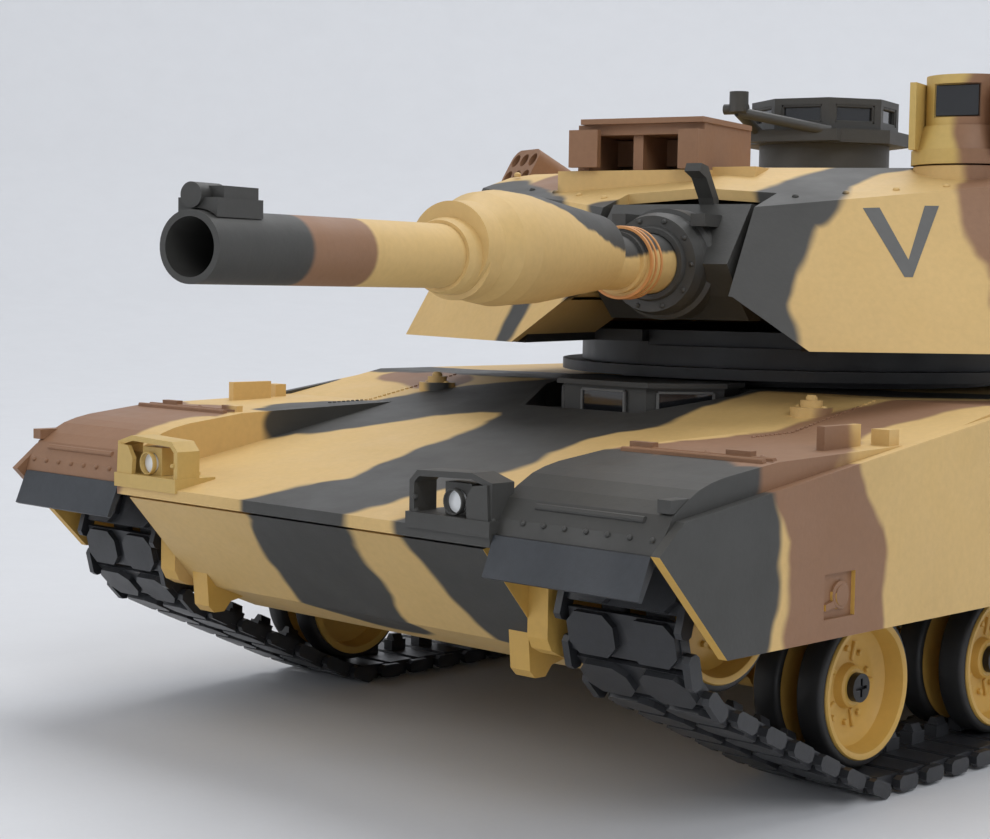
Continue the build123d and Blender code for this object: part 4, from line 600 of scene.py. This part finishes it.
bm = bmesh.new()
cx, cy, seat = -7.0, 27.0, 99.8
for i in range(8):
    turn = Matrix.Translation((cx, cy, 0)) @ Matrix.Rotation(radians(45 * i), 4, "Z")
    face = turn.to_3x3() @ Vector((0, 1, 0))
    low, high = seat + 12.4, seat + 15.8
    corners = [turn @ Vector((u, 13.5, v)) for u, v in ((-4.4, low), (4.4, low), (4.4, high), (-4.4, high))]
    for a, b in zip(corners, corners[1:] + corners[:1]):
        bar(bm, a, b, 0.7, 0.9, up=face, chamfer=0.15)
piece("cupola_frames", bm, "grey", "cupola", TURRET)
bm = bmesh.new()
for i in range(8):
    turn = Matrix.Translation((cx, cy, 0)) @ Matrix.Rotation(radians(45 * i), 4, "Z")
    face = turn.to_3x3() @ Vector((0, 1, 0))
    ends = [turn @ Vector((u, 13.4, seat + 14.1)) for u in (-4.2, 4.2)]
    bar(bm, *ends, 3.2, 0.3, up=face, chamfer=0.1)
piece("cupola_windows", bm, "glass", "cupola", TURRET)

bm = bmesh.new()
bar(bm, (36.0, -35.2, 111.2), (44.0, -35.2, 111.2), 5.6, 0.4, up=(0, -1, 0), chamfer=0.15)
piece("panoramic_window", bm, "glass", "panoramic_sight", TURRET)
bm = bmesh.new()
for i in range(12):
    t = 2 * pi * i / 12
    knob(bm, (40 + 8.7 * cos(t), -29.5 + 8.7 * sin(t), 102.35), (0, 0, 1), 0.4, 0.4, 10)
piece("panoramic_bolts", bm, "citv", "panoramic_sight", TURRET)

# ---- details on the gun ----
bm = bmesh.new()
GUN_Z = 81
lathe(bm, [(0, 5.25), (0, 6.1), (0.5, 6.4), (3.2, 6.4), (3.2, 6.1), (14, 6.1), (14, 5.25)], (0, -78.9, GUN_Z),
      (0, 1, 0), 56)
for i in range(10):
    t = 2 * pi * i / 10
    knob(bm, (7.5 * cos(t), -78.0, GUN_Z + 7.5 * sin(t)), (0, -1, 0), 0.45, 0.4, 10)
piece("barrel_collar", bm, "grey", "gun", TURRET)
bm = bmesh.new()
for y in (-90.7, -89.1, -87.0):
    lathe(bm, [(0, 5.6), (0, 6.02), (0.3, 6.1), (0.6, 6.02), (0.6, 5.6)], (0, y, GUN_Z), (0, 1, 0), 56)
piece("sleeve_bands", bm, "band", "gun", TURRET)

# ---- camera, floor and light ----
CAMERA = Vector((238.19, -333.99, 79.26)) * MM
YAW, PITCH, ROLL = radians(43.98), radians(-4.01), radians(0.93)
forward = Vector((-sin(YAW) * cos(PITCH), cos(YAW) * cos(PITCH), sin(PITCH)))
right = Vector((cos(YAW), sin(YAW), 0.0))
upward = right.cross(forward)
right2 = right * cos(ROLL) + upward * sin(ROLL)
up2 = -right * sin(ROLL) + upward * cos(ROLL)
lens = bpy.data.cameras.new("camera")
lens.lens = 72.25
lens.sensor_width = 36.0
lens.shift_x, lens.shift_y = -0.0014, 0.0006
lens.clip_start, lens.clip_end = 0.01, 20.0
camera = bpy.data.objects.new("camera", lens)
camera.matrix_world = Matrix((
    (right2.x, up2.x, -forward.x, CAMERA.x), (right2.y, up2.y, -forward.y, CAMERA.y),
    (right2.z, up2.z, -forward.z, CAMERA.z), (0, 0, 0, 1)))
bpy.context.scene.collection.objects.link(camera)
bpy.context.scene.camera = camera


def sweep():
    """A pale floor that curves up into a backdrop on every side."""
    bm = bmesh.new()
    profile = [(0.001, 0), (0.8, 0), (1.1, 0.01), (1.4, 0.06), (1.7, 0.2), (1.95, 0.5), (2.1, 1.0), (2.15, 3.0)]
    rings = []
    for r, z in profile:
        turns = (2 * pi * i / 96 for i in range(96))
        rings.append([bm.verts.new((r * cos(t), r * sin(t), z - 0.0003)) for t in turns])
    for lower, upper in zip(rings, rings[1:]):
        for i in range(96):
            j = (i + 1) % 96
            bm.faces.new((lower[i], lower[j], upper[j], upper[i]))
    mesh = bpy.data.meshes.new("studio_sweep")
    bm.to_mesh(mesh)
    bm.free()
    obj = bpy.data.objects.new("studio_sweep", mesh)
    for face in mesh.polygons:
        face.use_smooth = True
    bpy.context.scene.collection.objects.link(obj)
    tree = Tree("studio_paper")
    tree.finish((0.65, 0.66, 0.68), 0.7, grain=0.02, scale=300.0, tone=0.01)
    obj.data.materials.append(tree.mat)
    obj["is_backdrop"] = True


sweep()


def area_light(name, at, target, size, power):
    """A soft rectangular lamp aimed at a point."""
    light = bpy.data.lights.new(name, "AREA")
    light.shape = "RECTANGLE"
    light.size, light.size_y = size
    light.energy = power
    obj = bpy.data.objects.new(name, light)
    obj.location = at
    obj.rotation_mode = "QUATERNION"
    obj.rotation_quaternion = (Vector(target) - Vector(at)).to_track_quat("-Z", "Y")
    bpy.context.scene.collection.objects.link(obj)


area_light("overhead", (-0.2, 0.9, 2.0), (0, 0.0, 0), (2.2, 1.8), 34.0)
area_light("key", (0.9, -0.6, 0.9), (0, 0, 0.03), (0.6, 0.6), 4.6)
area_light("front", (-0.7, -1.3, 0.7), (0, 0, 0.03), (0.8, 0.6), 3.8)
world = bpy.data.worlds.new("studio")
world.use_nodes = True
world.node_tree.nodes["Background"].inputs["Color"].default_value = (0.80, 0.84, 0.92, 1)
world.node_tree.nodes["Background"].inputs["Strength"].default_value = 0.46
bpy.context.scene.world = world
bpy.context.scene.view_settings.view_transform = "Standard"

low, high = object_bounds()
